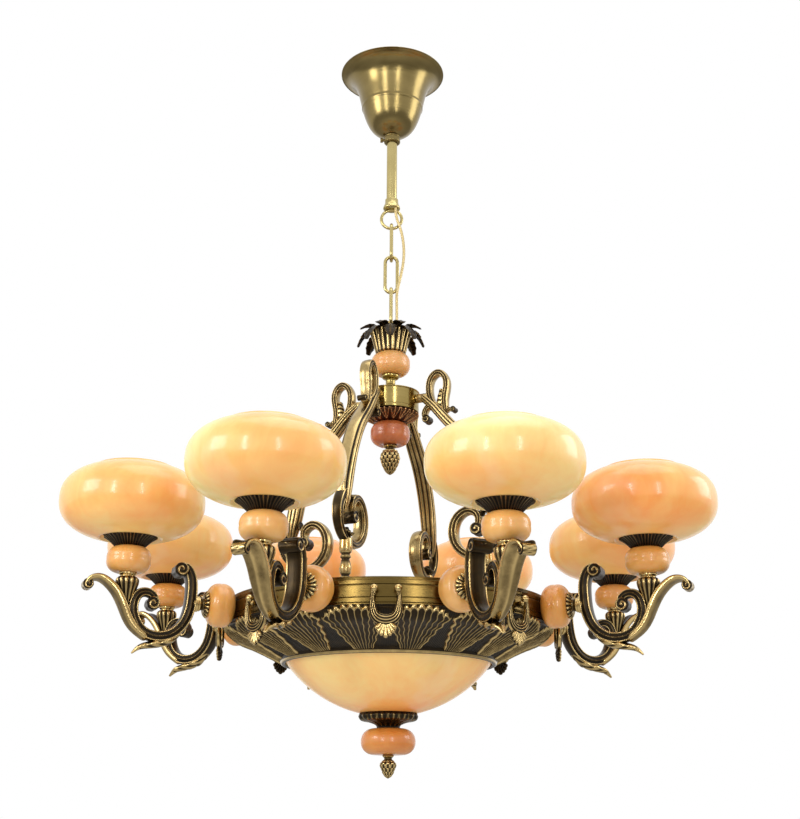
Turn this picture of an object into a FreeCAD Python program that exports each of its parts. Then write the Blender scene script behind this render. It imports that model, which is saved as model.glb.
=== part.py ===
"""Eight-light alabaster chandelier with a central bowl, hung from a ceiling bracket by a chain.

Millimetres, +Z up. The pieces are modelled about the ring level, the height of the eight arm
roots on the axis of the fixture, and are moved down on saving so that the ceiling is z = 0.
-Y is the front. A radius r is the distance from the vertical axis.
"""
import FreeCAD
import Part
import math
import os

V = FreeCAD.Vector
UP = V(0, 0, 1)

# ------------------------------------------------------------------ driving dimensions

# Arrangement round the axis
ARM_COUNT = 8
STRUT_COUNT = 4
FIRST_ARM_ANGLE = 22.5        # degrees from the front
FIRST_STRUT_ANGLE = -22.5

# Clearances
SEAT_GAP = 0.3                # between curved faces that lie on each other
ROD_GAP = 0.3                 # radial, round a threaded rod
HOOK_GAP = 0.3                # between two hooked wires of the chain
SLIDE_GAP = 0.35              # radial, canopy on stem

# Stone
BEAD_RADIUS = 30.0
BEAD_HEIGHT = 36.0
BEAD_FLAT = 17.0              # radius of a bead's flat ends
SHADE_RADIUS = 100.0
SHADE_HALF_HEIGHT = 54.0
SHADE_WALL = 6.0
SHADE_MOUTH = 52.0            # radius of the open top
SHADE_HOLE = 21.0             # radius of the hole for the lamp holder
SHADE_SQUARENESS = 2.4        # exponent of the shade's superelliptic section
BOWL_RADIUS = 150.0           # at the rim
BOWL_SPHERE = 186.0
BOWL_WALL = 7.0
LOW_BEAD_RADIUS = 39.0        # the flatter bead under the bowl

# Rods and nuts
ROD_RADIUS = 5.0
ARM_ROD_RADIUS = 4.0
NUT_HEIGHT = 6.0
NUT_FLATS = 16.0

# Ring band, plate and skirt
BAND_RADIUS = 236.0
BAND_WALL = 2.5
BAND_TOP = 17.0
BAND_BOTTOM = -22.0
BAND_FLANGE = 14.0
PLATE_THICKNESS = 2.5
PLATE_WINDOW_IN = 45.0
PLATE_WINDOW_OUT = 128.0
PLATE_SPOKE = 44.0
SKIRT_TOP_RADIUS = 242.0
SKIRT_WALL = 4.0
SHELL_COUNT = 16
SHELL_RELIEF = 4.0
RIM_LEVEL = -67.0             # the bowl's rim
ORNAMENT_WIDTH = 40.0
ORNAMENT_DROP = 68.0

# Arms
COLLAR_RADIUS = 19.0
COLLAR_TEETH = 18
COLLAR_LENGTH = 14.0
SPOOL_RADIUS = 10.0
SHADE_AXIS = 385.0            # radius of the shades' own axes
PEDESTAL_TOP = 36.5
CUP_HEIGHT = 15.5
CUP_BOTTOM_RADIUS = 22.5
CUP_TOP_RADIUS = 38.0
CUP_PLEATS = 20

# Hub
DRUM_RADIUS = 44.0
DRUM_BOTTOM = 313.0
DRUM_HEIGHT = 32.0
DRUM_WALL = 2.5
DOME_HEIGHT = 6.0
SPOOL_HEIGHT = 25.0
HUB_CUP_HEIGHT = 15.0
FINIAL_LENGTH = 47.0
FINIAL_RADIUS = 15.0
STRUT_FOOT_RADIUS = 152.0     # where the struts stand on the plate
CROWN_HEIGHT = 44.0
CROWN_BOTTOM_RADIUS = 23.5
CROWN_TOP_RADIUS = 33.0
CROWN_FLUTES = 20
CROWN_LEAVES = 8

# Chain, stem and canopy
LINK_COUNT = 3
LINK_WIRE = 5.5
LINK_LENGTH = 67.5
LINK_WIDTH = 25.0
LOOP_WIRE = 5.0
LOOP_RADIUS = 9.0             # centre line of the crown's loop
LOOP_RISE = 0.7
EYE_WIRE = 5.0
EYE_RADIUS = 16.5
STEM_RADIUS = 8.5
STEM_BORE = 7.0
STEM_LENGTH = 235.0
STEM_SOCKET = 8.0             # depth of the stem in its eye
STEM_TO_CEILING = 8.0
STRAP_WIDTH = 26.0
STRAP_THICKNESS = 3.0
STRAP_DROP = 18.0
STRAP_FOOT = 18.0             # length of each foot
BOLT_SPACING = 76.0
BOLT_RADIUS = 2.75
CANOPY_RADIUS = 85.0
CANOPY_HEIGHT = 118.0
CANOPY_WALL = 1.2
CANOPY_COLLAR_RADIUS = 13.5
CANOPY_COLLAR_HEIGHT = 12.0
SET_SCREW_RADIUS = 2.5
CORD_DIAMETER = 4.6

# Lamps
HOLDER_RADIUS = 18.0
HOLDER_HEIGHT = 36.0
BULB_RADIUS = 22.5
BULB_HEIGHT = 62.0
BOWL_LAMP_RADIUS = 86.0       # where the bowl's lamps hang

# ------------------------------------------------------------------ heights, bottom to top
# Shade stack
bead_bottom = PEDESTAL_TOP
cup_bottom = bead_bottom + BEAD_HEIGHT
cup_top = cup_bottom + CUP_HEIGHT
shade_centre = cup_top + SHADE_HALF_HEIGHT - 7.0

# Hub stack
drum_top = DRUM_BOTTOM + DRUM_HEIGHT
spool_bottom = drum_top + DOME_HEIGHT
crown_bead_bottom = spool_bottom + SPOOL_HEIGHT
crown_bottom = crown_bead_bottom + BEAD_HEIGHT
crown_top = crown_bottom + CROWN_HEIGHT
hub_cup_bottom = DRUM_BOTTOM - HUB_CUP_HEIGHT
hub_bead_bottom = hub_cup_bottom - BEAD_HEIGHT

# Chain: each hooked pair of wires touches with HOOK_GAP between the metal
link_pitch = LINK_LENGTH - LINK_WIRE
loop_wire_z = crown_top + LOOP_RISE + LOOP_RADIUS
link_low = [loop_wire_z - (LOOP_WIRE + LINK_WIRE) / 2 - HOOK_GAP]
for _ in range(LINK_COUNT - 1):
    link_low.append(link_low[-1] + link_pitch - LINK_WIRE - HOOK_GAP)
link_low.reverse()
eye_wire_z = link_low[0] + link_pitch - (EYE_WIRE + LINK_WIRE) / 2 - HOOK_GAP
eye_centre = eye_wire_z + EYE_RADIUS
eye_bell_bottom = eye_centre + EYE_RADIUS + EYE_WIRE / 2
stem_bottom = eye_bell_bottom + 8.0
CEILING = stem_bottom + STEM_LENGTH + STEM_TO_CEILING

# Bowl stack
sphere_centre = RIM_LEVEL + math.sqrt(BOWL_SPHERE ** 2 - BOWL_RADIUS ** 2)
bowl_bottom = sphere_centre - BOWL_SPHERE

# Arm stack, outwards
side_bead_start = BAND_RADIUS + SEAT_GAP
collar_start = side_bead_start + BEAD_HEIGHT
arm_start = collar_start + COLLAR_LENGTH

arm_angles = [FIRST_ARM_ANGLE + k * 360.0 / ARM_COUNT for k in range(ARM_COUNT)]
strut_angles = [FIRST_STRUT_ANGLE + k * 360.0 / STRUT_COUNT for k in range(STRUT_COUNT)]
plate_top = BAND_TOP - BAND_WALL

os.makedirs("parts", exist_ok=True)


# ------------------------------------------------------------------ helpers

def save(node, *shapes):
    """Write the piece's solids, moved so that the ceiling is z = 0."""
    solids = [s for shape in shapes for s in shape.Solids]
    whole = solids[0].copy() if len(solids) == 1 else Part.makeCompound(solids)
    whole.translate(V(0, 0, -CEILING))
    whole.exportStep("parts/%s.step" % node)
    volume = sum(s.Volume for s in solids) / 1000
    print("%-16s solids %2d  faces %4d  %8.1f cm3  valid %s"
          % (node, len(solids), len(whole.Faces), volume, whole.isValid()))


def at_angle(shape, angle):
    """A copy turned from the +X axis to an angle counted from the front, clockwise from below."""
    turned_copy = shape.copy()
    turned_copy.rotate(V(0, 0, 0), UP, angle - 90.0)
    return turned_copy


def round_axis(shape, angles):
    return [at_angle(shape, angle) for angle in angles]


def outline(start, *steps):
    """Edges in the XZ plane: a step (x, z) is a line, (x, z, xm, zm) an arc by its middle."""
    edges = []
    here = V(start[0], 0, start[1])
    for step in steps:
        there = V(step[0], 0, step[1])
        if len(step) == 2:
            edges.append(Part.LineSegment(here, there).toShape())
        else:
            edges.append(Part.Arc(here, V(step[2], 0, step[3]), there).toShape())
        here = there
    return edges


def turned(start, *steps):
    """A solid of revolution round Z; a straight line closes an outline that ends elsewhere."""
    if tuple(steps[-1][:2]) != tuple(start):
        steps += (start,)
    face = Part.Face(Part.Wire(outline(start, *steps)))
    return face.revolve(V(0, 0, 0), UP, 360)


def tube(outer, inner, low, high):
    return Part.makeCylinder(outer, high - low, V(0, 0, low)).cut(
        Part.makeCylinder(inner, high - low + 2, V(0, 0, low - 1)))


def spun_shell(points, wall):
    """A sheet of even thickness spun round Z; points run along its outer face."""
    outer = Part.BSplineCurve()
    outer.interpolate([V(r, 0, z) for r, z in points])
    inner_points = []
    for r, z in points:
        tangent = outer.tangent(outer.parameter(V(r, 0, z)))[0]
        inner_points.append(V(r, 0, z) + V(-tangent.z, 0, tangent.x) * wall)
    inner = Part.BSplineCurve()
    inner.interpolate(inner_points)
    first = Part.LineSegment(inner_points[0], V(points[0][0], 0, points[0][1])).toShape()
    last = Part.LineSegment(V(points[-1][0], 0, points[-1][1]), inner_points[-1]).toShape()
    face = Part.Face(Part.Wire([first, outer.toShape(), last, inner.toShape()]))
    return face.revolve(V(0, 0, 0), UP, 360)


def bead(radius, height, flat, bore):
    """A turned stone bead standing on z = 0."""
    half = height / 2
    shoulder_r = flat + (radius - flat) * 0.76
    shoulder_z = half * 0.70
    return turned((bore, 0), (flat, 0), (radius, half, shoulder_r, half - shoulder_z),
                  (flat, height, shoulder_r, half + shoulder_z), (bore, height))


def scalloped_wire(valley, peak, count, z):
    """A closed wire of round flutes at height z."""
    edges = []
    for k in range(count):
        a0, am, a1 = [2 * math.pi * (k + f) / count for f in (0.0, 0.5, 1.0)]
        p0, p1 = [V(valley * math.cos(a), valley * math.sin(a), z) for a in (a0, a1)]
        middle = V(peak * math.cos(am), peak * math.sin(am), z)
        edges.append(Part.Arc(p0, middle, p1).toShape())
    return Part.Wire(edges)


def fluted(stations, count):
    """A fluted solid through stations (valley radius, peak radius, z)."""
    wires = [scalloped_wire(valley, peak, count, z) for valley, peak, z in stations]
    return Part.makeLoft(wires, True, True)


def section(centre, normal, thick, wide, flutes=0, depth=0.0):
    """A closed section across a cast member: thick lies in the radial plane, wide across it."""
    count = max(12, 4 * flutes)
    points = []
    for k in range(count):
        a = 2 * math.pi * k / count
        c, s = math.cos(a), math.sin(a)
        # a rounded rectangle, with grooves along it if asked for
        reach = (abs(c) ** 2.6 + abs(s) ** 2.6) ** (-1 / 2.6)
        if flutes:
            reach *= 1 - depth * (0.5 - 0.5 * math.cos(flutes * a))
        points.append(centre + normal * (0.5 * thick * reach * s) + V(0, 0.5 * wide * reach * c, 0))
    curve = Part.BSplineCurve()
    curve.interpolate(points, PeriodicFlag=True)
    return Part.Wire([curve.toShape()])


def member(stations, flutes=0, depth=0.0):
    """A cast member along a curve in the XZ plane, from stations (x, z, thick, wide)."""
    spine = Part.BSplineCurve()
    spine.interpolate([V(x, 0, z) for x, z, _, _ in stations])
    wires = []
    for x, z, thick, wide in stations:
        here = V(x, 0, z)
        tangent = spine.tangent(spine.parameter(here))[0]
        wires.append(section(here, V(-tangent.z, 0, tangent.x), thick, wide, flutes, depth))
    return Part.makeLoft(wires, True, False)


def roll(x, z, radius, width):
    """A rolled end of a scroll: a short bar across the radial plane with rounded rims."""
    bar = Part.makeCylinder(radius, width, V(x, -width / 2, z), V(0, 1, 0))
    return bar.makeFillet(min(radius, width / 2) * 0.35, [e for e in bar.Edges if e.Closed])


def nut(low, bore):
    """A hexagon nut on the Z axis."""
    corner = NUT_FLATS / math.sqrt(3)
    corners = [V(corner * math.cos(math.pi * k / 3), corner * math.sin(math.pi * k / 3), low)
               for k in range(7)]
    block = Part.Face(Part.makePolygon(corners)).extrude(V(0, 0, NUT_HEIGHT))
    return block.cut(Part.makeCylinder(bore, NUT_HEIGHT + 2, V(0, 0, low - 1)))


def along_x(shape):
    """Turn a piece that stands on the Z axis so that it lies along +X."""
    laid = shape.copy()
    laid.rotate(V(0, 0, 0), V(0, 1, 0), 90)
    return laid


def stacked(shape, x, z):
    """A copy of a piece that stands on its own axis, set at radius x and height z."""
    placed = shape.copy()
    placed.translate(V(x, 0, z))
    return placed


# ------------------------------------------------------------------ ceiling bracket and stem

# A hat-shaped strap: its feet lie on the ceiling, and the stem hangs from its lowered middle.
foot_out = BOLT_SPACING / 2 + STRAP_FOOT / 2
foot_in = BOLT_SPACING / 2 - STRAP_FOOT / 2
well = foot_in - 8.0
strap_line = [(-foot_out, 0), (-foot_in, 0), (-well, -STRAP_DROP + STRAP_THICKNESS),
              (well, -STRAP_DROP + STRAP_THICKNESS), (foot_in, 0), (foot_out, 0)]
upper = [V(x, -STRAP_WIDTH / 2, CEILING + z) for x, z in strap_line]
lower = [p - V(0, 0, STRAP_THICKNESS) for p in upper]
strap = Part.Face(Part.makePolygon(upper + lower[::-1] + upper[:1])).extrude(V(0, STRAP_WIDTH, 0))
strap = strap.cut(Part.makeCylinder(STEM_RADIUS + ROD_GAP, 60, V(0, 0, CEILING - 50)))
for side in (-1, 1):
    strap = strap.cut(Part.makeCylinder(BOLT_RADIUS, 20, V(side * BOLT_SPACING / 2, 0, CEILING - 10)))
save("ceiling_bracket", strap)

# Two thin lock nuts clamp the stem to the strap.
LOCK_NUT_RADIUS = 13.0
strap_top = CEILING - STRAP_DROP + STRAP_THICKNESS
lock_nut = tube(LOCK_NUT_RADIUS, STEM_RADIUS + ROD_GAP, 0, 5.0)
flats = Part.makeBox(2 * LOCK_NUT_RADIUS, 1.76 * LOCK_NUT_RADIUS, 5.0,
                     V(-LOCK_NUT_RADIUS, -0.88 * LOCK_NUT_RADIUS, 0))
for turn in (0, 60, 120):
    cheek = flats.copy()
    cheek.rotate(V(0, 0, 0), UP, turn)
    lock_nut = lock_nut.common(cheek)
save("bracket_nuts", stacked(lock_nut, 0, strap_top),
     stacked(lock_nut, 0, strap_top - STRAP_THICKNESS - 5.0))

# The stem is a plain tube; the supply cord runs inside it.
save("stem_tube", tube(STEM_RADIUS, STEM_BORE, stem_bottom, stem_bottom + STEM_LENGTH))

# The eye under the stem: a flared bell with a round wire ring below it, facing the front.
BELL_FOOT_RADIUS = 14.0
bell_top = stem_bottom + STEM_SOCKET
bell = turned((0, eye_bell_bottom - 1.5),
              (BELL_FOOT_RADIUS - 2, eye_bell_bottom - 1.5),
              (BELL_FOOT_RADIUS, eye_bell_bottom + 0.5, BELL_FOOT_RADIUS - 0.5, eye_bell_bottom - 0.9),
              (STEM_RADIUS + 2.2, bell_top, STEM_RADIUS + 2.6, eye_bell_bottom + 7.5),
              (STEM_RADIUS + SEAT_GAP, bell_top),
              (STEM_RADIUS + SEAT_GAP, stem_bottom),
              (0, stem_bottom))
eye = Part.makeTorus(EYE_RADIUS, EYE_WIRE / 2, V(0, 0, eye_centre), V(0, 1, 0))
save("stem_eye", bell.fuse(eye))

# ------------------------------------------------------------------ canopy, free to slide down

canopy_top = CEILING - 0.5
canopy_bottom = canopy_top - CANOPY_HEIGHT
canopy_line = [(CANOPY_COLLAR_RADIUS - 2.0, 0.0), (31.5, 0.10), (43.5, 0.27), (50.0, 0.45),
               (54.5, 0.62), (59.5, 0.765), (66.0, 0.87), (75.0, 0.95), (CANOPY_RADIUS, 0.99)]
sheet = spun_shell([(r, canopy_bottom + CANOPY_HEIGHT * f) for r, f in canopy_line], CANOPY_WALL)
lip = Part.makeTorus(CANOPY_RADIUS - 0.6, 1.4, V(0, 0, canopy_top - 1.4))
seam_z = canopy_bottom + 0.45 * CANOPY_HEIGHT
seam = Part.makeTorus(49.4, 1.0, V(0, 0, seam_z))
floor = tube(CANOPY_COLLAR_RADIUS, STEM_RADIUS + SLIDE_GAP, canopy_bottom, canopy_bottom + CANOPY_WALL)
save("canopy", sheet.fuse([lip, seam, floor]))

collar_top = canopy_bottom
collar_low = collar_top - CANOPY_COLLAR_HEIGHT
collar = turned((STEM_RADIUS + SLIDE_GAP, collar_low), (CANOPY_COLLAR_RADIUS - 1.5, collar_low),
                (CANOPY_COLLAR_RADIUS, collar_low + 1.5),
                (CANOPY_COLLAR_RADIUS, collar_top), (STEM_RADIUS + SLIDE_GAP, collar_top))
screw_z = (collar_top + collar_low) / 2
screw_hole = Part.makeCylinder(SET_SCREW_RADIUS + 0.1, 30, V(0, 0, screw_z), V(-1, 0, 0))
save("canopy_collar", collar.cut(screw_hole))

SCREW_REACH = 19.5
screw = Part.makeCylinder(SET_SCREW_RADIUS, SCREW_REACH - STEM_RADIUS - SLIDE_GAP,
                          V(-STEM_RADIUS - SLIDE_GAP, 0, screw_z), V(-1, 0, 0))
head = Part.makeCylinder(SET_SCREW_RADIUS + 1.5, 4.0, V(-SCREW_REACH, 0, screw_z), V(1, 0, 0))
save("collar_screw", screw.fuse(head))

# ------------------------------------------------------------------ chain and supply cord


def chain_link(low, facing):
    """An oval link of round wire; low is the height of its lower wire's centre."""
    bend = (LINK_WIDTH - LINK_WIRE) / 2
    low_bend, high_bend = low + bend, low + link_pitch - bend
    sides = [Part.makeCylinder(LINK_WIRE / 2, high_bend - low_bend, V(side * bend, 0, low_bend))
             for side in (-1, 1)]
    ends = []
    for z, box_z in ((low_bend, low_bend), (high_bend, high_bend - LINK_WIDTH)):
        ring = Part.makeTorus(bend, LINK_WIRE / 2, V(0, 0, z), V(0, 1, 0))
        ends.append(ring.cut(Part.makeBox(2 * LINK_WIDTH, LINK_WIDTH, LINK_WIDTH,
                                          V(-LINK_WIDTH, -LINK_WIDTH / 2, box_z))))
    link = sides[0].fuse([sides[1]] + ends)
    if facing == "side":
        link.rotate(V(0, 0, 0), UP, 90)
    return link


for number, low in enumerate(link_low, 1):
    facing = "side" if number % 2 else "front"
    save("chain_link_%d" % number, chain_link(low, facing))

# The cord leaves the bell in front of the eye, bows out past the links and enters the crown.
cord_start = eye_bell_bottom - 1.5
cord_points = [V(6.5, -7.5, cord_start), V(6.5, -7.5, cord_start - 15), V(16.0, -8.4, cord_start - 41),
               V(20.5, -8.0, cord_start - 69), V(20.0, -8.6, cord_start - 97),
               V(15.0, -8.2, cord_start - 124), V(8.8, -8.0, cord_start - 150),
               V(9.5, -9.5, cord_start - 178), V(9.5, -9.5, crown_top)]
CORD_CUTS = (2, 4, 6)          # a piece ends half way along the run after each of these points


def cord_piece(points, name):
    """A round cord along straight runs joined by tangent arcs."""
    edges = []
    length = 0.0
    here = points[0]
    radii = []
    for before, corner, after in zip(points, points[1:], points[2:]):
        back, ahead = before - corner, after - corner
        shorter = min(back.Length, ahead.Length)
        half_turn = (math.pi - back.getAngle(ahead)) / 2
        trim = 0.45 * shorter
        radii.append(trim / math.tan(half_turn))
        back.normalize()
        ahead.normalize()
        start, end = corner + back * trim, corner + ahead * trim
        bisector = (back + ahead).normalize()
        sagitta = radii[-1] / math.cos(half_turn) - radii[-1]
        edges.append(Part.LineSegment(here, start).toShape())
        edges.append(Part.Arc(start, corner + bisector * sagitta, end).toShape())
        here = end
    edges.append(Part.LineSegment(here, points[-1]).toShape())
    path = Part.Wire(edges)
    length = path.Length
    ring = Part.Wire([Part.Circle(points[0], points[1] - points[0], CORD_DIAMETER / 2).toShape()])
    solid = path.makePipeShell([ring], True, False)
    ratio = solid.Volume / (math.pi * CORD_DIAMETER ** 2 / 4 * length)
    print("%s length %.1f, volume ratio %.4f, radii %s"
          % (name, length, ratio, ["%.0f" % r for r in radii]))
    return solid


cuts = [(cord_points[k] + cord_points[k + 1]) * 0.5 for k in CORD_CUTS]
cord_runs = [cord_points[:3] + [cuts[0]],
             [cuts[0]] + cord_points[3:5] + [cuts[1]],
             [cuts[1]] + cord_points[5:7] + [cuts[2]],
             [cuts[2]] + cord_points[7:]]
for number, run in enumerate(cord_runs, 1):
    save("cord_%d" % number, cord_piece(run, "cord_%d" % number))

# ------------------------------------------------------------------ crown over the hub

# The loop screws on the centre rod and is the hook for the chain.
loop_centre = crown_top + LOOP_RISE
loop = Part.makeTorus(LOOP_RADIUS, LOOP_WIRE / 2, V(0, 0, loop_centre), V(0, 1, 0))
below = Part.makeBox(60, 60, 40, V(-30, -30, loop_centre - 40))
stub_length = 6.0
loop = loop.cut(below)
for side in (-1, 1):
    loop = loop.fuse(Part.makeCylinder(LOOP_WIRE / 2, stub_length, V(side * LOOP_RADIUS, 0,
                                                                     loop_centre - stub_length)))
LOOP_BOSS_RADIUS = 13.0
boss = tube(LOOP_BOSS_RADIUS, ROD_RADIUS + ROD_GAP, crown_top - 14, crown_top - 3)
save("crown_loop", loop.fuse(boss))

GROMMET_RADIUS = 5.5
grommet_hole = V(cord_points[-1].x, cord_points[-1].y, 0)
grommet = Part.makeTorus(GROMMET_RADIUS - 1.6, 1.4, V(grommet_hole.x, grommet_hole.y, crown_top + 1.4))
save("cord_grommet", grommet)

crown = fluted([(CROWN_BOTTOM_RADIUS - 1.5, CROWN_BOTTOM_RADIUS, crown_bottom),
                (CROWN_BOTTOM_RADIUS + 1.2, CROWN_BOTTOM_RADIUS + 3.2, crown_bottom + 12),
                (CROWN_TOP_RADIUS - 3.2, CROWN_TOP_RADIUS, crown_top - 9)], CROWN_FLUTES)
crown_lid = turned((0, crown_top - 9), (CROWN_TOP_RADIUS - 3.5, crown_top - 9),
                   (20.0, crown_top, 27.0, crown_top - 2.5), (0, crown_top))
long_leaf = member([(23, crown_top - 10, 9, 12), (33, crown_top - 8.5, 8, 17),
                    (42, crown_top - 15, 7, 17), (48.5, crown_top - 25, 6, 13),
                    (51, crown_top - 31, 5, 9)])
short_leaf = member([(20, crown_top - 7, 7, 10), (31, crown_top - 3, 6, 15),
                     (41, crown_top - 4, 5, 13), (50, crown_top - 9, 3, 6)])
leaf_step = 360.0 / CROWN_LEAVES
crown = crown.fuse([crown_lid]
                   + round_axis(long_leaf, [k * leaf_step for k in range(CROWN_LEAVES)])
                   + round_axis(short_leaf, [(k + 0.5) * leaf_step for k in range(CROWN_LEAVES)]))
pocket = Part.makeCylinder(LOOP_BOSS_RADIUS + SEAT_GAP, 11 + 2 * SEAT_GAP,
                           V(0, 0, crown_top - 14 - SEAT_GAP))
slot = Part.makeBox(2 * LOOP_RADIUS + LOOP_WIRE + 2 * SEAT_GAP, LOOP_WIRE + 2 * SEAT_GAP, 20,
                    V(-LOOP_RADIUS - LOOP_WIRE / 2 - SEAT_GAP, -LOOP_WIRE / 2 - SEAT_GAP,
                      crown_top - 12))
bore = Part.makeCylinder(ROD_RADIUS + ROD_GAP, CROWN_HEIGHT, V(0, 0, crown_bottom - 1))
save("crown_leaves", crown.cut([pocket, slot, bore]))

small_bead = bead(BEAD_RADIUS, BEAD_HEIGHT, BEAD_FLAT, ROD_RADIUS + ROD_GAP)
save("crown_bead", stacked(small_bead, 0, crown_bead_bottom))

# ------------------------------------------------------------------ hub: spool, drum, cup, bead

rod_bore = ROD_RADIUS + ROD_GAP
spool = turned((rod_bore, 0), (16, 0), (16, 1.5), (13.5, 4.5, 15.2, 3.4), (7.5, 9.5, 9.0, 6.8),
               (7.5, SPOOL_HEIGHT - 9.0), (9.8, SPOOL_HEIGHT - 6.5, 8.1, SPOOL_HEIGHT - 7.2),
               (14, SPOOL_HEIGHT - 2.2, 13.2, SPOOL_HEIGHT - 5.0),
               (14, SPOOL_HEIGHT), (rod_bore, SPOOL_HEIGHT))
save("neck_spool", stacked(spool, 0, spool_bottom))

drum = turned((rod_bore, spool_bottom), (16, spool_bottom),
              (DRUM_RADIUS + 1.5, drum_top + 0.5, 33.0, spool_bottom - 2.2),
              (DRUM_RADIUS + 1.5, drum_top - 1.0), (DRUM_RADIUS, drum_top - 1.5),
              (DRUM_RADIUS, DRUM_BOTTOM), (DRUM_RADIUS - DRUM_WALL, DRUM_BOTTOM),
              (DRUM_RADIUS - DRUM_WALL, drum_top - DRUM_WALL),
              (rod_bore, drum_top - DRUM_WALL))
save("hub_drum", drum)

cup_lip = 3.0
hub_cup = fluted([(24.5, 26.0, hub_cup_bottom), (29.0, 32.0, hub_cup_bottom + 4.0),
                  (37.0, 41.0, hub_cup_bottom + 9.0), (40.0, 44.5, DRUM_BOTTOM - cup_lip),
                  (38.5, 42.5, DRUM_BOTTOM)], 16)
hub_cup = hub_cup.cut(Part.makeCylinder(rod_bore, 40, V(0, 0, hub_cup_bottom - 5)))
save("hub_leaf_cup", hub_cup)

save("hub_bead", stacked(small_bead, 0, hub_bead_bottom))


def pine_finial(top, length, radius, neck, blind):
    """A turned neck with an egg-shaped cone under it, bored from above for its rod."""
    body = turned((0, 0), (radius * 0.62, 0), (radius * 0.72, -1.8, radius * 0.695, -0.6),
                  (neck, -4.5, neck * 1.1, -3.2), (neck, -6.5),
                  (radius * 0.80, -9.0), (radius * 0.80, -10.5),
                  (radius, -length * 0.47, radius * 0.99, -length * 0.33),
                  (radius * 0.72, -length * 0.74, radius * 0.93, -length * 0.61),
                  (radius * 0.08, -length + 0.4, radius * 0.38, -length * 0.915), (0, -length))
    body = body.cut(Part.makeCylinder(blind[0], blind[1], V(0, 0, -blind[1])))
    return stacked(body, 0, top)


FINIAL_BITE = 8.0
save("hub_finial", pine_finial(hub_bead_bottom, FINIAL_LENGTH, FINIAL_RADIUS, 7.0,
                               (ROD_RADIUS + ROD_GAP, FINIAL_BITE + SEAT_GAP)))

# ------------------------------------------------------------------ struts, hub to ring

hub_face = DRUM_RADIUS + SEAT_GAP
hub_z = drum_top - 13.0
peg = Part.makeCylinder(7.0, 22, V(hub_face, 0, hub_z), V(1, 0, 0))
trunk = member([(56, hub_z, 13, 16), (72, 317, 15, 22), (94, 291, 16, 26), (121, 261, 17, 27),
                (142, 224, 18, 26), (153, 188, 20, 25), (156, 166, 19, 23), (154, 146, 13, 19)],
               flutes=8, depth=0.16)
teardrop = member([(81, 308, 10, 17), (70, 325, 10, 18), (66, 346, 10, 18), (71, 363, 10, 18),
                   (81, 369, 10, 18), (91, 362, 10, 18), (94, 344, 10, 18), (91, 325, 10, 17),
                   (93, 307, 8, 15)])
curl = member([(90, 320, 6, 11), (95, 311, 6, 12), (104, 306, 5, 10)])
infill = member([(82, 309, 14, 13), (84, 321, 14, 13), (85, 331, 12, 13), (85, 340, 6, 12)])
hub_volute = member([(70, 321, 9, 16), (61, 313, 8, 15), (58, 303, 8, 15), (62, 295, 7, 14)])
inner_scroll = member([(141, 124, 9, 17), (142, 138, 11, 19), (130, 148, 12, 20), (112, 141, 13, 21),
                       (103, 120, 14, 22), (107, 99, 13, 21), (120, 85, 12, 19),
                       (138, 80, 11, 18), (152, 84, 12, 17)])
outer_scroll = member([(160, 160, 12, 19), (173, 146, 12, 19), (182, 129, 11, 18), (182, 111, 10, 17),
                       (174, 97, 10, 16), (162, 89, 11, 16), (152, 86, 12, 16)])
rolls = [roll(62, 296, 6.5, 18), roll(140, 119, 9.5, 21), roll(105, 307, 4.5, 14),
         roll(154, 142, 9.5, 21)]
foot_z = plate_top
spindle = turned((0, foot_z), (10, foot_z), (10, foot_z + 3), (6, foot_z + 7), (5.2, foot_z + 13),
                 (8, foot_z + 17), (5, foot_z + 20), (8.6, foot_z + 30, 8.4, foot_z + 23),
                 (5.2, foot_z + 43, 5.6, foot_z + 38), (7.8, foot_z + 46), (5.6, foot_z + 50),
                 (9.5, foot_z + 58, 7.4, foot_z + 52), (9, foot_z + 72), (0, foot_z + 74))
spindle = stacked(spindle, STRUT_FOOT_RADIUS, 0)
strut = peg.fuse([trunk, teardrop, curl, infill, hub_volute, inner_scroll, outer_scroll, spindle] + rolls)
strut = strut.cut(Part.makeCylinder(ARM_ROD_RADIUS + ROD_GAP, 16,
                                    V(STRUT_FOOT_RADIUS, 0, foot_z - 1)))
for number, angle in enumerate(strut_angles, 1):
    save("strut_%d" % number, at_angle(strut, angle))

# ------------------------------------------------------------------ ring band and plate

# An upside-down channel: a grooved outer wall with a flange turned inwards at its top.
groove = 0.9
band_inside = BAND_RADIUS - BAND_WALL - 1.0
band = turned((BAND_RADIUS - BAND_FLANGE, BAND_TOP - BAND_WALL), (BAND_RADIUS - BAND_FLANGE, BAND_TOP),
              (BAND_RADIUS - 3.0, BAND_TOP), (BAND_RADIUS - 3.0, BAND_TOP - 4.0),
              (BAND_RADIUS - 1.0, BAND_TOP - 4.5), (BAND_RADIUS - 1.0, BAND_TOP - 10.0),
              (BAND_RADIUS - 1.0 - groove, BAND_TOP - 10.5), (BAND_RADIUS - 1.0, BAND_TOP - 11.0),
              (BAND_RADIUS - 1.0, BAND_TOP - 11.5), (BAND_RADIUS, BAND_TOP - 12.0),
              (BAND_RADIUS, BAND_BOTTOM + 12.0), (BAND_RADIUS - groove, BAND_BOTTOM + 11.5),
              (BAND_RADIUS, BAND_BOTTOM + 11.0), (BAND_RADIUS, BAND_BOTTOM + 5.0),
              (BAND_RADIUS - groove, BAND_BOTTOM + 4.5), (BAND_RADIUS, BAND_BOTTOM + 4.0),
              (BAND_RADIUS, BAND_BOTTOM), (band_inside, BAND_BOTTOM),
              (band_inside, BAND_TOP - 5.0), (band_inside - 2.0, BAND_TOP - 5.0),
              (band_inside - 2.0, BAND_TOP - BAND_WALL))
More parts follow.
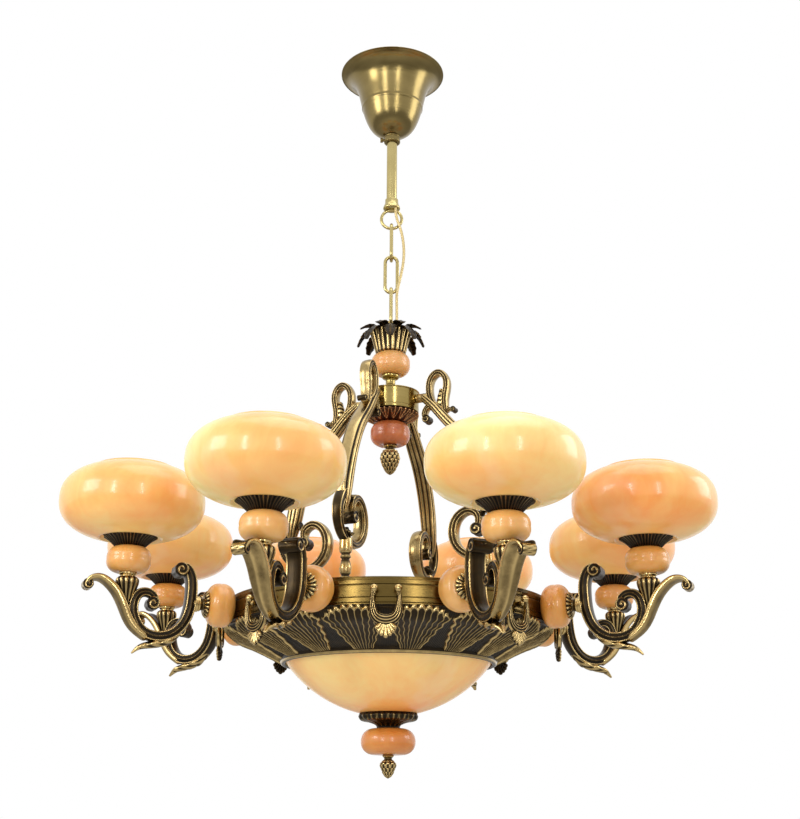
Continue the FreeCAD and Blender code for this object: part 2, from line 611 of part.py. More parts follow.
arm_hole = Part.makeCylinder(ARM_ROD_RADIUS + ROD_GAP, 30, V(BAND_RADIUS - 20, 0, 0), V(1, 0, 0))
band = band.cut(round_axis(arm_hole, arm_angles))
save("ring_band", band)

# A wheel-shaped plate under the flange carries the struts, the bowl's rod and its lamps.
plate_radius = band_inside - 2.0 - SEAT_GAP
plate = Part.makeCylinder(plate_radius, PLATE_THICKNESS, V(0, 0, plate_top - PLATE_THICKNESS))
windows = tube(PLATE_WINDOW_OUT, PLATE_WINDOW_IN, plate_top - 8, plate_top + 4)
spokes = [at_angle(Part.makeBox(PLATE_WINDOW_OUT + 20, PLATE_SPOKE, 16,
                                V(0, -PLATE_SPOKE / 2, plate_top - 10)), a) for a in strut_angles]
plate = plate.cut(windows.cut(spokes))
foot_hole = Part.makeCylinder(ARM_ROD_RADIUS + ROD_GAP, 12, V(STRUT_FOOT_RADIUS, 0, plate_top - 8))
lamp_hole = Part.makeCylinder(ARM_ROD_RADIUS + ROD_GAP, 12, V(BOWL_LAMP_RADIUS, 0, plate_top - 8))
rod_hole = Part.makeCylinder(ARM_ROD_RADIUS + ROD_GAP, 12, V(0, 0, plate_top - 8))
plate = plate.cut(round_axis(foot_hole, strut_angles) + round_axis(lamp_hole, strut_angles)
                  + [rod_hole])
save("ring_plate", plate)

# ------------------------------------------------------------------ skirt of shell leaves

# A pressed dish: sixteen shell lobes widen from the bowl's rim up to the band.
skirt_top = BAND_BOTTOM
ledge = RIM_LEVEL + SEAT_GAP
shell_stations = [(BOWL_RADIUS + 5.5, BOWL_RADIUS + 6.5, RIM_LEVEL - 1),
                  (BOWL_RADIUS + 24, BOWL_RADIUS + 27, RIM_LEVEL + 9),
                  (BOWL_RADIUS + 55, BOWL_RADIUS + 60, RIM_LEVEL + 24),
                  (SKIRT_TOP_RADIUS - 2 - SHELL_RELIEF, SKIRT_TOP_RADIUS, skirt_top + 1.0)]
lifted = [(valley, peak, z + SKIRT_WALL) for valley, peak, z in shell_stations]
lifted.append((lifted[-1][0], lifted[-1][1], skirt_top + 12.0))
shells = fluted(shell_stations, SHELL_COUNT).cut(fluted(lifted, SHELL_COUNT))
moulding = turned((BOWL_RADIUS - 7, ledge), (BOWL_RADIUS, ledge), (BOWL_RADIUS, ledge - 4),
                  (BOWL_RADIUS + 3, ledge - 5), (BOWL_RADIUS + 7, ledge - 1.5, BOWL_RADIUS + 6.2, ledge - 4),
                  (BOWL_RADIUS + 9, ledge + 3), (BOWL_RADIUS + 4, ledge + 6.5),
                  (BOWL_RADIUS - 7, ledge + 3.5))
seat = tube(SKIRT_TOP_RADIUS - 10, BAND_RADIUS - 15, skirt_top - 3, skirt_top)
mouth = Part.makeCylinder(BOWL_RADIUS - 7, 30, V(0, 0, ledge - 10))
rim_room = Part.makeCylinder(BOWL_RADIUS + 2 * SEAT_GAP, 10, V(0, 0, ledge - 10))
skirt = shells.fuse([moulding, seat]).cut([mouth, rim_room])
skirt = skirt.cut(Part.makeCylinder(BAND_RADIUS + SEAT_GAP, 12, V(0, 0, skirt_top)))
save("skirt", skirt)

# ------------------------------------------------------------------ horseshoe drops on the skirt

ORNAMENT_THICKNESS = 7.0
ornament_back = SKIRT_TOP_RADIUS + 1.0
horn = ORNAMENT_WIDTH / 2 - 5.5


def horseshoe():
    """A U with two knobbed horns and a small ribbed shell tongue under its bow."""
    thick = ORNAMENT_THICKNESS
    bow_z = -ORNAMENT_DROP * 0.62
    half_u = [(horn - 1.5, -2, 6, thick), (horn + 0.5, -12, 5.5, thick),
              (horn, -24, 8, thick), (horn * 0.74, bow_z + 5.5, 11, thick + 1)]
    other_half = [(-x, z, t, w) for x, z, t, w in half_u[::-1]]
    bow = member(half_u + [(0, bow_z, 13, thick + 1)] + other_half)
    knobs = [Part.makeSphere(4.8, V(side * (horn - 1.5), 0, -1.0)) for side in (-1, 1)]
    tongue = []
    for k in range(-3, 4):
        reach = ORNAMENT_DROP + bow_z - 2.0 * abs(k)
        rib = Part.makeCone(1.6, 3.0, reach - 2, V(0, 0, 0), V(0, 0, -1))
        rib = rib.fuse(Part.makeSphere(3.0, V(0, 0, -reach + 2)))
        rib.rotate(V(0, 0, 0), V(0, 1, 0), k * 15)
        rib.translate(V(0, 0, bow_z + 2))
        tongue.append(rib)
    shape = bow.fuse(knobs + tongue)
    shape.rotate(V(0, 0, 0), UP, 90)
    shape.translate(V(ornament_back + thick / 2 + 0.5, 0, 0))
    lugs = [Part.makeCylinder(3.2, ornament_back + 3 - BAND_RADIUS - SEAT_GAP,
                              V(BAND_RADIUS + SEAT_GAP, side * (horn - 1.0), -6), V(1, 0, 0))
            for side in (-1, 1)]
    return shape.fuse(lugs)


drop = horseshoe()
drop_angles = [k * 360.0 / ARM_COUNT for k in range(ARM_COUNT)]
save("drop_ornaments", *round_axis(drop, drop_angles))

# ------------------------------------------------------------------ arms and their side beads

arm_bead = along_x(bead(BEAD_RADIUS, BEAD_HEIGHT, BEAD_FLAT, ARM_ROD_RADIUS + ROD_GAP))
arm_bead.translate(V(side_bead_start, 0, 0))
save("side_beads", *round_axis(arm_bead, arm_angles))

# A serrated flower collar with a turned spool behind it.
teeth = fluted([(COLLAR_RADIUS - 5.5, COLLAR_RADIUS - 4.0, 0),
                (COLLAR_RADIUS - 3.0, COLLAR_RADIUS, 1.6),
                (COLLAR_RADIUS - 4.5, COLLAR_RADIUS - 2.0, 4.0),
                (SPOOL_RADIUS, SPOOL_RADIUS + 1.5, 6.5)], COLLAR_TEETH)
spool_body = turned((0, 4), (SPOOL_RADIUS, 4), (SPOOL_RADIUS - 2, 8.0),
                    (SPOOL_RADIUS, COLLAR_LENGTH - 2.5), (SPOOL_RADIUS, COLLAR_LENGTH),
                    (0, COLLAR_LENGTH))
side_collar = teeth.fuse(spool_body).cut(
    Part.makeCylinder(ARM_ROD_RADIUS + ROD_GAP, COLLAR_LENGTH + 2, V(0, 0, -1)))
side_collar = along_x(side_collar)
side_collar.translate(V(collar_start, 0, 0))
save("side_collars", *round_axis(side_collar, arm_angles))

# The cast arm: a C scroll with an inner volute, an acanthus leaf and a fluted pedestal.
c_scroll = member([(318, 47, 9, 20), (308, 49, 13, 26), (299, 38, 15, 28), (296, 18, 16, 28),
                   (298, -8, 16, 28), (306, -29, 15, 26), (322, -44, 15, 24), (344, -48, 15, 23),
                   (363, -40, 15, 23), (374, -21, 15, 23), (374, -1, 14, 23), (366, 10, 13, 22),
                   (356, 11, 12, 21), (347, 4, 11, 20), (345, -5, 10, 19)])
leaf_blade = member([(358, -48, 13, 20), (374, -34, 17, 24), (387, -11, 19, 28), (398, 9, 19, 31),
                     (411, 22, 17, 32), (425, 28, 13, 31), (436, 25, 10, 26), (441, 16, 9, 20)],
                    flutes=4, depth=0.10)
spike = member([(308, -40, 6, 14), (320, -51, 9, 19), (336, -57, 11, 20), (352, -60, 10, 18),
                (364, -64, 7, 12), (372, -71, 3, 5)])
root_boss = Part.makeCylinder(SPOOL_RADIUS + 1, 12, V(arm_start, 0, 0), V(1, 0, 0))
arm_rolls = [roll(313, 45, 10.0, 29), roll(349, -4, 9.5, 23), roll(438, 17, 7.0, 21)]
pedestal = stacked(fluted([(3.5, 4.5, -14), (8.5, 10.0, 4), (13.5, 16.0, 24), (13.0, 15.5, 28),
                           (10.5, 12.0, PEDESTAL_TOP)], 12), SHADE_AXIS, 0)
arm = c_scroll
for member_of_arm in [leaf_blade, spike, root_boss, pedestal] + arm_rolls:
    arm = arm.fuse(member_of_arm)
side_hole = Part.makeCylinder(ARM_ROD_RADIUS + ROD_GAP, 16, V(arm_start - 1, 0, 0), V(1, 0, 0))
top_hole = Part.makeCylinder(ARM_ROD_RADIUS + ROD_GAP, 20, V(SHADE_AXIS, 0, PEDESTAL_TOP - 18))
arm = arm.cut([side_hole, top_hole])
for number, angle in enumerate(arm_angles, 1):
    save("arm_%d" % number, at_angle(arm, angle))

# ------------------------------------------------------------------ shade stacks

shade_bead = bead(BEAD_RADIUS, BEAD_HEIGHT, BEAD_FLAT, ARM_ROD_RADIUS + ROD_GAP)
save("shade_beads", *round_axis(stacked(shade_bead, SHADE_AXIS, bead_bottom), arm_angles))

shade_cup = fluted([(CUP_BOTTOM_RADIUS - 3.0, CUP_BOTTOM_RADIUS - 1.0, cup_bottom),
                    (CUP_BOTTOM_RADIUS, CUP_BOTTOM_RADIUS + 2.5, cup_bottom + 4.0),
                    (CUP_TOP_RADIUS - 4.5, CUP_TOP_RADIUS, cup_top - 1.5),
                    (CUP_TOP_RADIUS - 5.0, CUP_TOP_RADIUS - 1.0, cup_top)], CUP_PLEATS)
shade_cup = shade_cup.cut(Part.makeCylinder(ARM_ROD_RADIUS + ROD_GAP, CUP_HEIGHT + 4,
                                            V(0, 0, cup_bottom - 2)))
save("shade_cups", *round_axis(stacked(shade_cup, SHADE_AXIS, 0), arm_angles))


def superellipse(radius, half_height, first, last, count):
    """Points of the shade's section from angle first to last, counted from straight down."""
    points = []
    for k in range(count):
        a = math.radians(first + (last - first) * k / (count - 1))
        power = 2 / SHADE_SQUARENESS
        r = radius * abs(math.sin(a)) ** power
        z = -half_height * math.copysign(abs(math.cos(a)) ** power, math.cos(a))
        points.append((r, shade_centre + z))
    return points


recess_radius = CUP_TOP_RADIUS + 4.0


def angle_at(radius, reach, upper_half):
    a = math.degrees(math.asin((reach / radius) ** (SHADE_SQUARENESS / 2)))
    return 180 - a if upper_half else a


outer = superellipse(SHADE_RADIUS, SHADE_HALF_HEIGHT, angle_at(SHADE_RADIUS, recess_radius, False),
                     angle_at(SHADE_RADIUS, SHADE_MOUTH + 2, True), 15)
inner_radius = SHADE_RADIUS - SHADE_WALL
inner_half = SHADE_HALF_HEIGHT - SHADE_WALL
inner = superellipse(inner_radius, inner_half, angle_at(inner_radius, recess_radius + 4, False),
                     angle_at(inner_radius, SHADE_MOUTH, True), 15)
floor_z = cup_top + SHADE_WALL
outer_curve = Part.BSplineCurve()
outer_curve.interpolate([V(r, 0, z) for r, z in outer])
inner_curve = Part.BSplineCurve()
inner_curve.interpolate([V(r, 0, z) for r, z in inner])
shade_edges = outline((SHADE_HOLE, floor_z), (SHADE_HOLE, cup_top), (recess_radius - 3, cup_top),
                      outer[0])
shade_edges.append(outer_curve.toShape())
shade_edges += outline(outer[-1], inner[-1])
shade_edges.append(inner_curve.toShape())
shade_edges += outline(inner[0], (recess_radius, floor_z), (SHADE_HOLE, floor_z))
shade_face = Part.Face(Part.Wire(Part.__sortEdges__(shade_edges)))
shade = stacked(shade_face.revolve(V(0, 0, 0), UP, 360), SHADE_AXIS, 0)
for number, angle in enumerate(arm_angles, 1):
    save("shade_%d" % number, at_angle(shade, angle))

# ------------------------------------------------------------------ bowl and what hangs under it

inner_sphere = BOWL_SPHERE - BOWL_WALL
BOWL_HOLE = 8.0


def on_sphere(radius, sphere):
    return sphere_centre - math.sqrt(sphere ** 2 - radius ** 2)


inner_rim = math.sqrt(inner_sphere ** 2 - (sphere_centre - RIM_LEVEL) ** 2)
bowl = turned((BOWL_HOLE, on_sphere(BOWL_HOLE, inner_sphere)),
              (BOWL_HOLE, on_sphere(BOWL_HOLE, BOWL_SPHERE)),
              (BOWL_RADIUS, RIM_LEVEL, 80, on_sphere(80, BOWL_SPHERE)),
              (inner_rim, RIM_LEVEL),
              (BOWL_HOLE, on_sphere(BOWL_HOLE, inner_sphere), 80, on_sphere(80, inner_sphere)))
save("bowl", bowl)

CAP_RADIUS = 44.0
cap_sphere = BOWL_SPHERE + SEAT_GAP
cap_bottom = bowl_bottom - 17.0
cap = fluted([(16.0, 17.0, cap_bottom), (16.5, 17.5, cap_bottom + 3.5),
              (20.0, 22.0, cap_bottom + 6.5), (30.0, 33.0, cap_bottom + 9.5),
              (CAP_RADIUS - 3.5, CAP_RADIUS, cap_bottom + 13.0),
              (CAP_RADIUS - 2, CAP_RADIUS + 1, cap_bottom + 17.0),
              (CAP_RADIUS - 4, CAP_RADIUS, bowl_bottom + 6.0)], 16)
cap = cap.cut([Part.makeSphere(cap_sphere, V(0, 0, sphere_centre)),
               Part.makeCylinder(ARM_ROD_RADIUS + ROD_GAP, 60, V(0, 0, cap_bottom - 10))])
save("bowl_cap", cap)

low_bead_bottom = cap_bottom - BEAD_HEIGHT
low_bead = bead(LOW_BEAD_RADIUS, BEAD_HEIGHT, BEAD_FLAT + 3, ARM_ROD_RADIUS + ROD_GAP)
save("bowl_bead", stacked(low_bead, 0, low_bead_bottom))

BOTTOM_FINIAL_RADIUS = 11.5
BOTTOM_FINIAL_LENGTH = 33.0
BOTTOM_BITE = 7.0
save("bowl_finial", pine_finial(low_bead_bottom, BOTTOM_FINIAL_LENGTH, BOTTOM_FINIAL_RADIUS, 5.6,
                                (ARM_ROD_RADIUS + ROD_GAP, BOTTOM_BITE + SEAT_GAP)))

# ------------------------------------------------------------------ threaded rods and nuts

hub_rod = Part.makeCylinder(ROD_RADIUS, crown_top - 4 - (hub_bead_bottom - FINIAL_BITE),
                            V(0, 0, hub_bead_bottom - FINIAL_BITE))
rod_top = plate_top + NUT_HEIGHT + 2
bowl_rod = Part.makeCylinder(ARM_ROD_RADIUS, rod_top - (low_bead_bottom - BOTTOM_BITE),
                             V(0, 0, low_bead_bottom - BOTTOM_BITE))
nut_inside = band_inside - NUT_HEIGHT - SEAT_GAP
arm_rod = Part.makeCylinder(ARM_ROD_RADIUS, arm_start + 12 - (nut_inside - 2),
                            V(nut_inside - 2, 0, 0), V(1, 0, 0))
holder_base = floor_z - SHADE_WALL
nipple = Part.makeCylinder(ARM_ROD_RADIUS, holder_base + 6 - (PEDESTAL_TOP - 16),
                           V(SHADE_AXIS, 0, PEDESTAL_TOP - 16))
foot_rod = Part.makeCylinder(ARM_ROD_RADIUS, 12 + PLATE_THICKNESS + NUT_HEIGHT + 1,
                             V(STRUT_FOOT_RADIUS, 0, plate_top - PLATE_THICKNESS - NUT_HEIGHT - 1))
save("threaded_rods", hub_rod, bowl_rod, *(round_axis(arm_rod, arm_angles)
                                           + round_axis(nipple, arm_angles)
                                           + round_axis(foot_rod, strut_angles)))

plain_nut = nut(0, ARM_ROD_RADIUS + ROD_GAP)
side_nut = along_x(plain_nut)
side_nut.translate(V(nut_inside, 0, 0))
foot_nut = stacked(plain_nut, STRUT_FOOT_RADIUS, plate_top - PLATE_THICKNESS - NUT_HEIGHT)
save("frame_nuts", stacked(plain_nut, 0, plate_top), *(round_axis(side_nut, arm_angles)
                                                       + round_axis(foot_nut, strut_angles)))

# ------------------------------------------------------------------ lamp holders and bulbs


def lamp_holder(blind):
    """A screw-shell holder standing on z = 0 with its mouth up."""
    holder = turned((0, 0), (HOLDER_RADIUS - 4, 0), (HOLDER_RADIUS - 2, 8), (HOLDER_RADIUS, 12),
                    (HOLDER_RADIUS, HOLDER_HEIGHT), (13.8, HOLDER_HEIGHT), (13.8, 12), (0, 12))
    return holder.cut(Part.makeCylinder(ARM_ROD_RADIUS + ROD_GAP, blind, V(0, 0, -1)))


def lamp_bulb():
    """A small globe bulb standing in the holder's mouth, its cap from z = 13 up."""
    cap_radius = 13.2
    neck_z = HOLDER_HEIGHT + 2
    centre_z = BULB_HEIGHT + 13 - BULB_RADIUS
    tip_z = centre_z + math.sqrt(BULB_RADIUS ** 2 - 1)
    return turned((0, 13), (cap_radius - 5, 13), (cap_radius, 17), (cap_radius, neck_z),
                  (BULB_RADIUS, centre_z, cap_radius + 6.2, centre_z - 10.5),
                  (1.0, tip_z, BULB_RADIUS * 0.7071, centre_z + BULB_RADIUS * 0.7071), (0, tip_z))


holder = lamp_holder(8)
bulb = lamp_bulb()
hanging_holder = holder.mirror(V(0, 0, 0), UP)
hanging_bulb = bulb.mirror(V(0, 0, 0), UP)
plate_low = plate_top - PLATE_THICKNESS
save("lamp_holders", *(round_axis(stacked(holder, SHADE_AXIS, holder_base), arm_angles)
                       + round_axis(stacked(hanging_holder, BOWL_LAMP_RADIUS, plate_low),
                                    strut_angles)))
save("bulbs", *(round_axis(stacked(bulb, SHADE_AXIS, holder_base), arm_angles)
                + round_axis(stacked(hanging_bulb, BOWL_LAMP_RADIUS, plate_low), strut_angles)))

print("ceiling at %.2f over the ring level; hooks at %s"
      % (CEILING, ["%.2f" % (z - CEILING) for z in [eye_wire_z] + link_low]))
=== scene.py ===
import math

import bmesh
import bpy
import numpy as np
from mathutils import Matrix, Vector


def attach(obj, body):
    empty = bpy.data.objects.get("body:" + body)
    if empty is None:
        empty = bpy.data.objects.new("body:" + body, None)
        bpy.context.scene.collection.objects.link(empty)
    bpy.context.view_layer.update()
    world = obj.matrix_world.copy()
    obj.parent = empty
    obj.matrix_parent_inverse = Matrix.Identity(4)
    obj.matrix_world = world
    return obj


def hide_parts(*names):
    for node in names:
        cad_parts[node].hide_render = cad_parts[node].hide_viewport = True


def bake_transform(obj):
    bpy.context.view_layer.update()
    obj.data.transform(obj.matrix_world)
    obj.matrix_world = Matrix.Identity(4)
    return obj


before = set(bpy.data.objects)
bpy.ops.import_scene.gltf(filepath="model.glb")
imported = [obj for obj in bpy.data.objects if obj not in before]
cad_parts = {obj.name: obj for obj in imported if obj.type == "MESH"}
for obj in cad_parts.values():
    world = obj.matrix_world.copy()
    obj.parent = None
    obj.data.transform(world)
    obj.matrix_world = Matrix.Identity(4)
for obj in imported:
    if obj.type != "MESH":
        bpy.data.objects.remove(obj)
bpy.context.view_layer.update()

scene = bpy.context.scene

# ---------------------------------------------------------------- camera, lamps and floor
# The fixture is seen from below, about 1.9 m away, in a bright white studio. Two tall soft boxes
# at the camera's sides draw the upright highlights on the brass, square ones the window shapes on
# the stone, and a pale floor lies 2.6 m under the ceiling.

camera = bpy.data.objects.new("camera", bpy.data.cameras.new("camera"))
camera.data.lens = 55.57
camera.data.sensor_width = 36.0
camera.location = (0.0304, -1.8609, -1.2010)
camera.rotation_euler = (Matrix.Rotation(0.0083, 3, "Z")
                         @ Matrix.Rotation(math.radians(90 + 18.03), 3, "X")
                         @ Matrix.Rotation(0.004, 3, "Z")).to_euler()
scene.collection.objects.link(camera)
scene.camera = camera
scene.view_settings.view_transform = "Standard"

MIDDLE = Vector((0.0, 0.0, -0.75))


def soft_box(name, place, width, height, watts):
    """A rectangular lamp that faces the fixture's middle."""
    lamp = bpy.data.lights.new(name, "AREA")
    lamp.shape = "RECTANGLE"
    lamp.size, lamp.size_y = width, height
    lamp.energy = watts
    held = bpy.data.objects.new(name, lamp)
    held.location = place
    held.rotation_euler = (MIDDLE - Vector(place)).to_track_quat("-Z", "Y").to_euler()
    scene.collection.objects.link(held)


soft_box("left_strip", (-1.28, -3.0, -0.3), 0.24, 1.6, 22)
soft_box("right_strip", (1.0, -3.1, -0.4), 0.22, 1.6, 16)
soft_box("left_window", (-1.95, -1.25, -0.2), 0.85, 0.85, 17)
soft_box("right_window", (2.2, 0.1, 0.0), 1.0, 1.2, 15)
soft_box("top_box", (0.3, -0.4, 1.4), 2.0, 2.0, 22)

ROOM_LIGHT = 0.46


def told(node, **settings):
    """Sets a node's inputs, named with underscores for spaces; gives the node."""
    for key, value in settings.items():
        node.inputs[key.replace("_", " ")].default_value = value
    return node


def add_node(tree, kind, by=None, **settings):
    """A shader node; settings are its own or its inputs', and by is its second input."""
    node = tree.nodes.new("ShaderNode" + kind)
    if by is not None:
        node.inputs[1].default_value = by
    for key, value in settings.items():
        if key.replace("_", " ") in node.inputs:
            told(node, **{key: value})
        else:
            setattr(node, key, value)
    return node


world = bpy.data.worlds.new("studio")
world.use_nodes = True
scene.world = world
sky = world.node_tree
sky.nodes.clear()
join = sky.links.new
rays = add_node(sky, "LightPath")
seen = add_node(sky, "Math", operation="MAXIMUM")
seen_glass = add_node(sky, "Math", operation="MAXIMUM")
dim_side = add_node(sky, "Background", Color=(1.0, 0.985, 0.96, 1), Strength=ROOM_LIGHT)
white_side = add_node(sky, "Background", Color=(1, 1, 1, 1), Strength=1.0)
either = add_node(sky, "MixShader")
join(rays.outputs["Is Camera Ray"], seen.inputs[0])
join(rays.outputs["Is Glossy Ray"], seen.inputs[1])
join(seen.outputs[0], seen_glass.inputs[0])
join(rays.outputs["Is Transmission Ray"], seen_glass.inputs[1])
join(seen_glass.outputs[0], either.inputs["Fac"])
join(dim_side.outputs[0], either.inputs[1])
join(white_side.outputs[0], either.inputs[2])
join(either.outputs[0], add_node(sky, "OutputWorld").inputs["Surface"])

FLOOR_LEVEL, FLOOR_RADIUS = -2.6, 12
floor_mesh = bpy.data.meshes.new("floor")
rim = [(FLOOR_RADIUS * math.cos(k * math.pi / 32), FLOOR_RADIUS * math.sin(k * math.pi / 32),
        FLOOR_LEVEL) for k in range(64)]
floor_mesh.from_pydata(rim, [], [list(range(64))])
floor = bpy.data.objects.new("floor", floor_mesh)
scene.collection.objects.link(floor)
floor_finish = bpy.data.materials.new("pale_floor")
floor_finish.use_nodes = True
tree = floor_finish.node_tree
tree.nodes.clear()
join = tree.links.new
paint = add_node(tree, "BsdfDiffuse", Color=(0.86, 0.86, 0.85, 1))
shine = add_node(tree, "Emission", Color=(1, 1, 1, 1), Strength=1.0)
rays = add_node(tree, "LightPath")
share = add_node(tree, "Math", operation="MULTIPLY", by=0.78)
mixed = add_node(tree, "MixShader")
join(rays.outputs["Is Camera Ray"], share.inputs[0])
join(share.outputs[0], mixed.inputs["Fac"])
join(paint.outputs[0], mixed.inputs[1])
join(shine.outputs[0], mixed.inputs[2])
join(mixed.outputs[0], add_node(tree, "OutputMaterial").inputs["Surface"])
floor_mesh.materials.append(floor_finish)

# ---------------------------------------------------------------- supply cord
# One round flex with a clear jacket over a gold foil braid. It leaves the bell of the eye, bows
# out past the three links and goes into the crown's grommet. It is made here in four lengths,
# parted where the chain's links meet.

RING_LEVEL = -0.9155            # height of the arm roots, in metres
CORD_DIAMETER = 0.0046
cord_route = [(6.5, -7.5, 663), (6.5, -7.5, 648), (16, -8.4, 622), (20.5, -8, 594),
              (20, -8.6, 566), (15, -8.2, 539), (8.8, -8, 513), (9.5, -9.5, 485),
              (9.5, -9.5, 456)]
cord_route = [Vector((x / 1000, y / 1000, z / 1000 + RING_LEVEL)) for x, y, z in cord_route]
cord_parting = [(cord_route[k] + cord_route[k + 1]) / 2 for k in (2, 4, 6)]
cord_runs = [cord_route[:3] + cord_parting[:1],
             cord_parting[:1] + cord_route[3:5] + cord_parting[1:2],
             cord_parting[1:2] + cord_route[5:7] + cord_parting[2:],
             cord_parting[2:] + cord_route[7:]]


def route_line(points):
    """Points along the smooth line that the cord follows."""
    curve = bpy.data.curves.new("cord_line", "CURVE")
    curve.dimensions = "3D"
    curve.resolution_u = 24
    spline = curve.splines.new("NURBS")
    spline.points.add(len(points) - 1)
    for knot, point in zip(spline.points, points):
        knot.co = (*point, 1.0)
    spline.order_u = 3
    spline.use_endpoint_u = True
    holder = bpy.data.objects.new("cord_line", curve)
    scene.collection.objects.link(holder)
    bpy.context.view_layer.update()
    seen_mesh = bpy.data.meshes.new_from_object(
        holder.evaluated_get(bpy.context.evaluated_depsgraph_get()))
    line = [v.co.copy() for v in seen_mesh.vertices]
    bpy.data.meshes.remove(seen_mesh)
    bpy.data.objects.remove(holder)
    return line


def new_piece(name, points, faces, finish, worn=None):
    """A mesh object from an array of points in metres and an array of four-cornered faces."""
    mesh = bpy.data.meshes.new(name)
    mesh.vertices.add(len(points))
    mesh.vertices.foreach_set("co", np.asarray(points, np.float32).ravel())
    mesh.loops.add(4 * len(faces))
    mesh.loops.foreach_set("vertex_index", np.asarray(faces, np.int32).ravel())
    mesh.polygons.add(len(faces))
    mesh.polygons.foreach_set("loop_start", np.arange(0, 4 * len(faces), 4, dtype=np.int32))
    mesh.update(calc_edges=True)
    if worn is not None:
        rub = mesh.attributes.new("rub", "FLOAT", "POINT")
        rub.data.foreach_set("value", np.asarray(worn, np.float32))
    work = bmesh.new()
    work.from_mesh(mesh)
    bmesh.ops.remove_doubles(work, verts=work.verts, dist=4e-6)
    bmesh.ops.recalc_face_normals(work, faces=work.faces)
    work.to_mesh(mesh)
    work.free()
    mesh.shade_smooth()
    mesh.materials.append(finish)
    made = bpy.data.objects.new(name, mesh)
    scene.collection.objects.link(made)
    return made


def net(rows, columns, round_rows=False, round_columns=False):
    """Faces of a grid of rows x columns points, closed into a ring where asked."""
    number = np.arange(rows * columns).reshape(rows, columns)
    if round_rows:
        number = np.vstack([number, number[:1]])
    if round_columns:
        number = np.hstack([number, number[:, :1]])
    return np.stack([number[:-1, :-1], number[1:, :-1], number[1:, 1:], number[:-1, 1:]],
                    -1).reshape(-1, 4)


def new_finish(name):
    """A new material: itself, its tree, its principled shader and what joins its sockets."""
    finish = bpy.data.materials.new(name)
    finish.use_nodes = True
    tree = finish.node_tree
    return finish, tree, tree.nodes["Principled BSDF"], tree.links.new


def rest_place(tree):
    return tree.nodes.new("ShaderNodeTexCoord").outputs["Object"]


def ramp(tree, source, *stops):
    """A colour ramp; each stop is (position, colour)."""
    node = tree.nodes.new("ShaderNodeValToRGB")
    while len(node.color_ramp.elements) < len(stops):
        node.color_ramp.elements.new(0.5)
    for element, (position, colour) in zip(node.color_ramp.elements, stops):
        element.position = position
        element.color = (*colour, 1)
    tree.links.new(source, node.inputs["Fac"])
    return node.outputs["Color"]


cord_gold, tree, skin, join = new_finish("gold_flex")
place = rest_place(tree)
braid = add_node(tree, "TexWave", wave_type="BANDS", bands_direction="DIAGONAL", Scale=260.0,
                 Distortion=1.2, Detail=1.0)
join(place, braid.inputs["Vector"])
join(ramp(tree, braid.outputs["Fac"], (0.0, (0.34, 0.22, 0.06)),
          (1.0, (0.83, 0.68, 0.33))), skin.inputs["Base Color"])
told(skin, Metallic=0.55, Roughness=0.34, Coat_Weight=0.7)
bump = add_node(tree, "Bump", Strength=0.35, Distance=0.0003)
join(braid.outputs["Fac"], bump.inputs["Height"])
join(bump.outputs["Normal"], skin.inputs["Normal"])

CORD_SIDES = 20
for number, run in enumerate(cord_runs, 1):
    line = route_line(run)
    rings = []
    for k, here in enumerate(line):
        ahead = (line[min(k + 1, len(line) - 1)] - line[max(k - 1, 0)]).normalized()
        side = ahead.cross(Vector((0, 1, 0))).normalized()
        front = side.cross(ahead)
        rings.append([here + (side * math.cos(a) + front * math.sin(a)) * (CORD_DIAMETER / 2)
                      for a in np.linspace(0, 2 * math.pi, CORD_SIDES, endpoint=False)])
    rings = [[line[0]] * CORD_SIDES] + rings + [[line[-1]] * CORD_SIDES]
    piece = new_piece("cord_%d_flex" % number, np.array(rings).reshape(-1, 3),
                      net(len(rings), CORD_SIDES, round_columns=True), cord_gold)
    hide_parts("cord_%d" % number)
    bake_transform(piece)

# ---------------------------------------------------------------- ceiling bracket
# A hat-shaped strap of zinc-plated steel, screwed to the ceiling by its two feet, with two thin
# lock nuts that clamp the stem. The canopy hides it. The rods, nuts and inner plate are plated
# the same way.

zinc, tree, skin, join = new_finish("zinc_plate")
place = rest_place(tree)
spangle = add_node(tree, "TexVoronoi", Scale=420.0)
cloud = add_node(tree, "TexNoise", Scale=35.0, Detail=5.0)
join(place, spangle.inputs["Vector"])
join(place, cloud.inputs["Vector"])
both = add_node(tree, "Math", operation="MULTIPLY_ADD", by=0.35)
join(spangle.outputs["Distance"], both.inputs[0])
join(cloud.outputs["Fac"], both.inputs[2])
join(ramp(tree, both.outputs[0], (0.25, (0.36, 0.37, 0.37)), (0.85, (0.62, 0.62, 0.60))),
               skin.inputs["Base Color"])
told(skin, Metallic=0.95, Roughness=0.42)


def finish_solid(node, finish):
    """Gives one of the solids that show as they are its finish."""
    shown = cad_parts[node].data.materials
    shown.clear()
    shown.append(finish)


for node in ("ceiling_bracket", "bracket_nuts", "threaded_rods", "frame_nuts", "ring_plate"):
    finish_solid(node, zinc)

# ---------------------------------------------------------------- canopy, collar and stem
# The canopy is a bell spun from thin brass sheet, brushed round and lacquered, with a seam ring
# and a rolled lip. A turned collar with a small set screw holds it up on the brass stem.

MM = 0.001


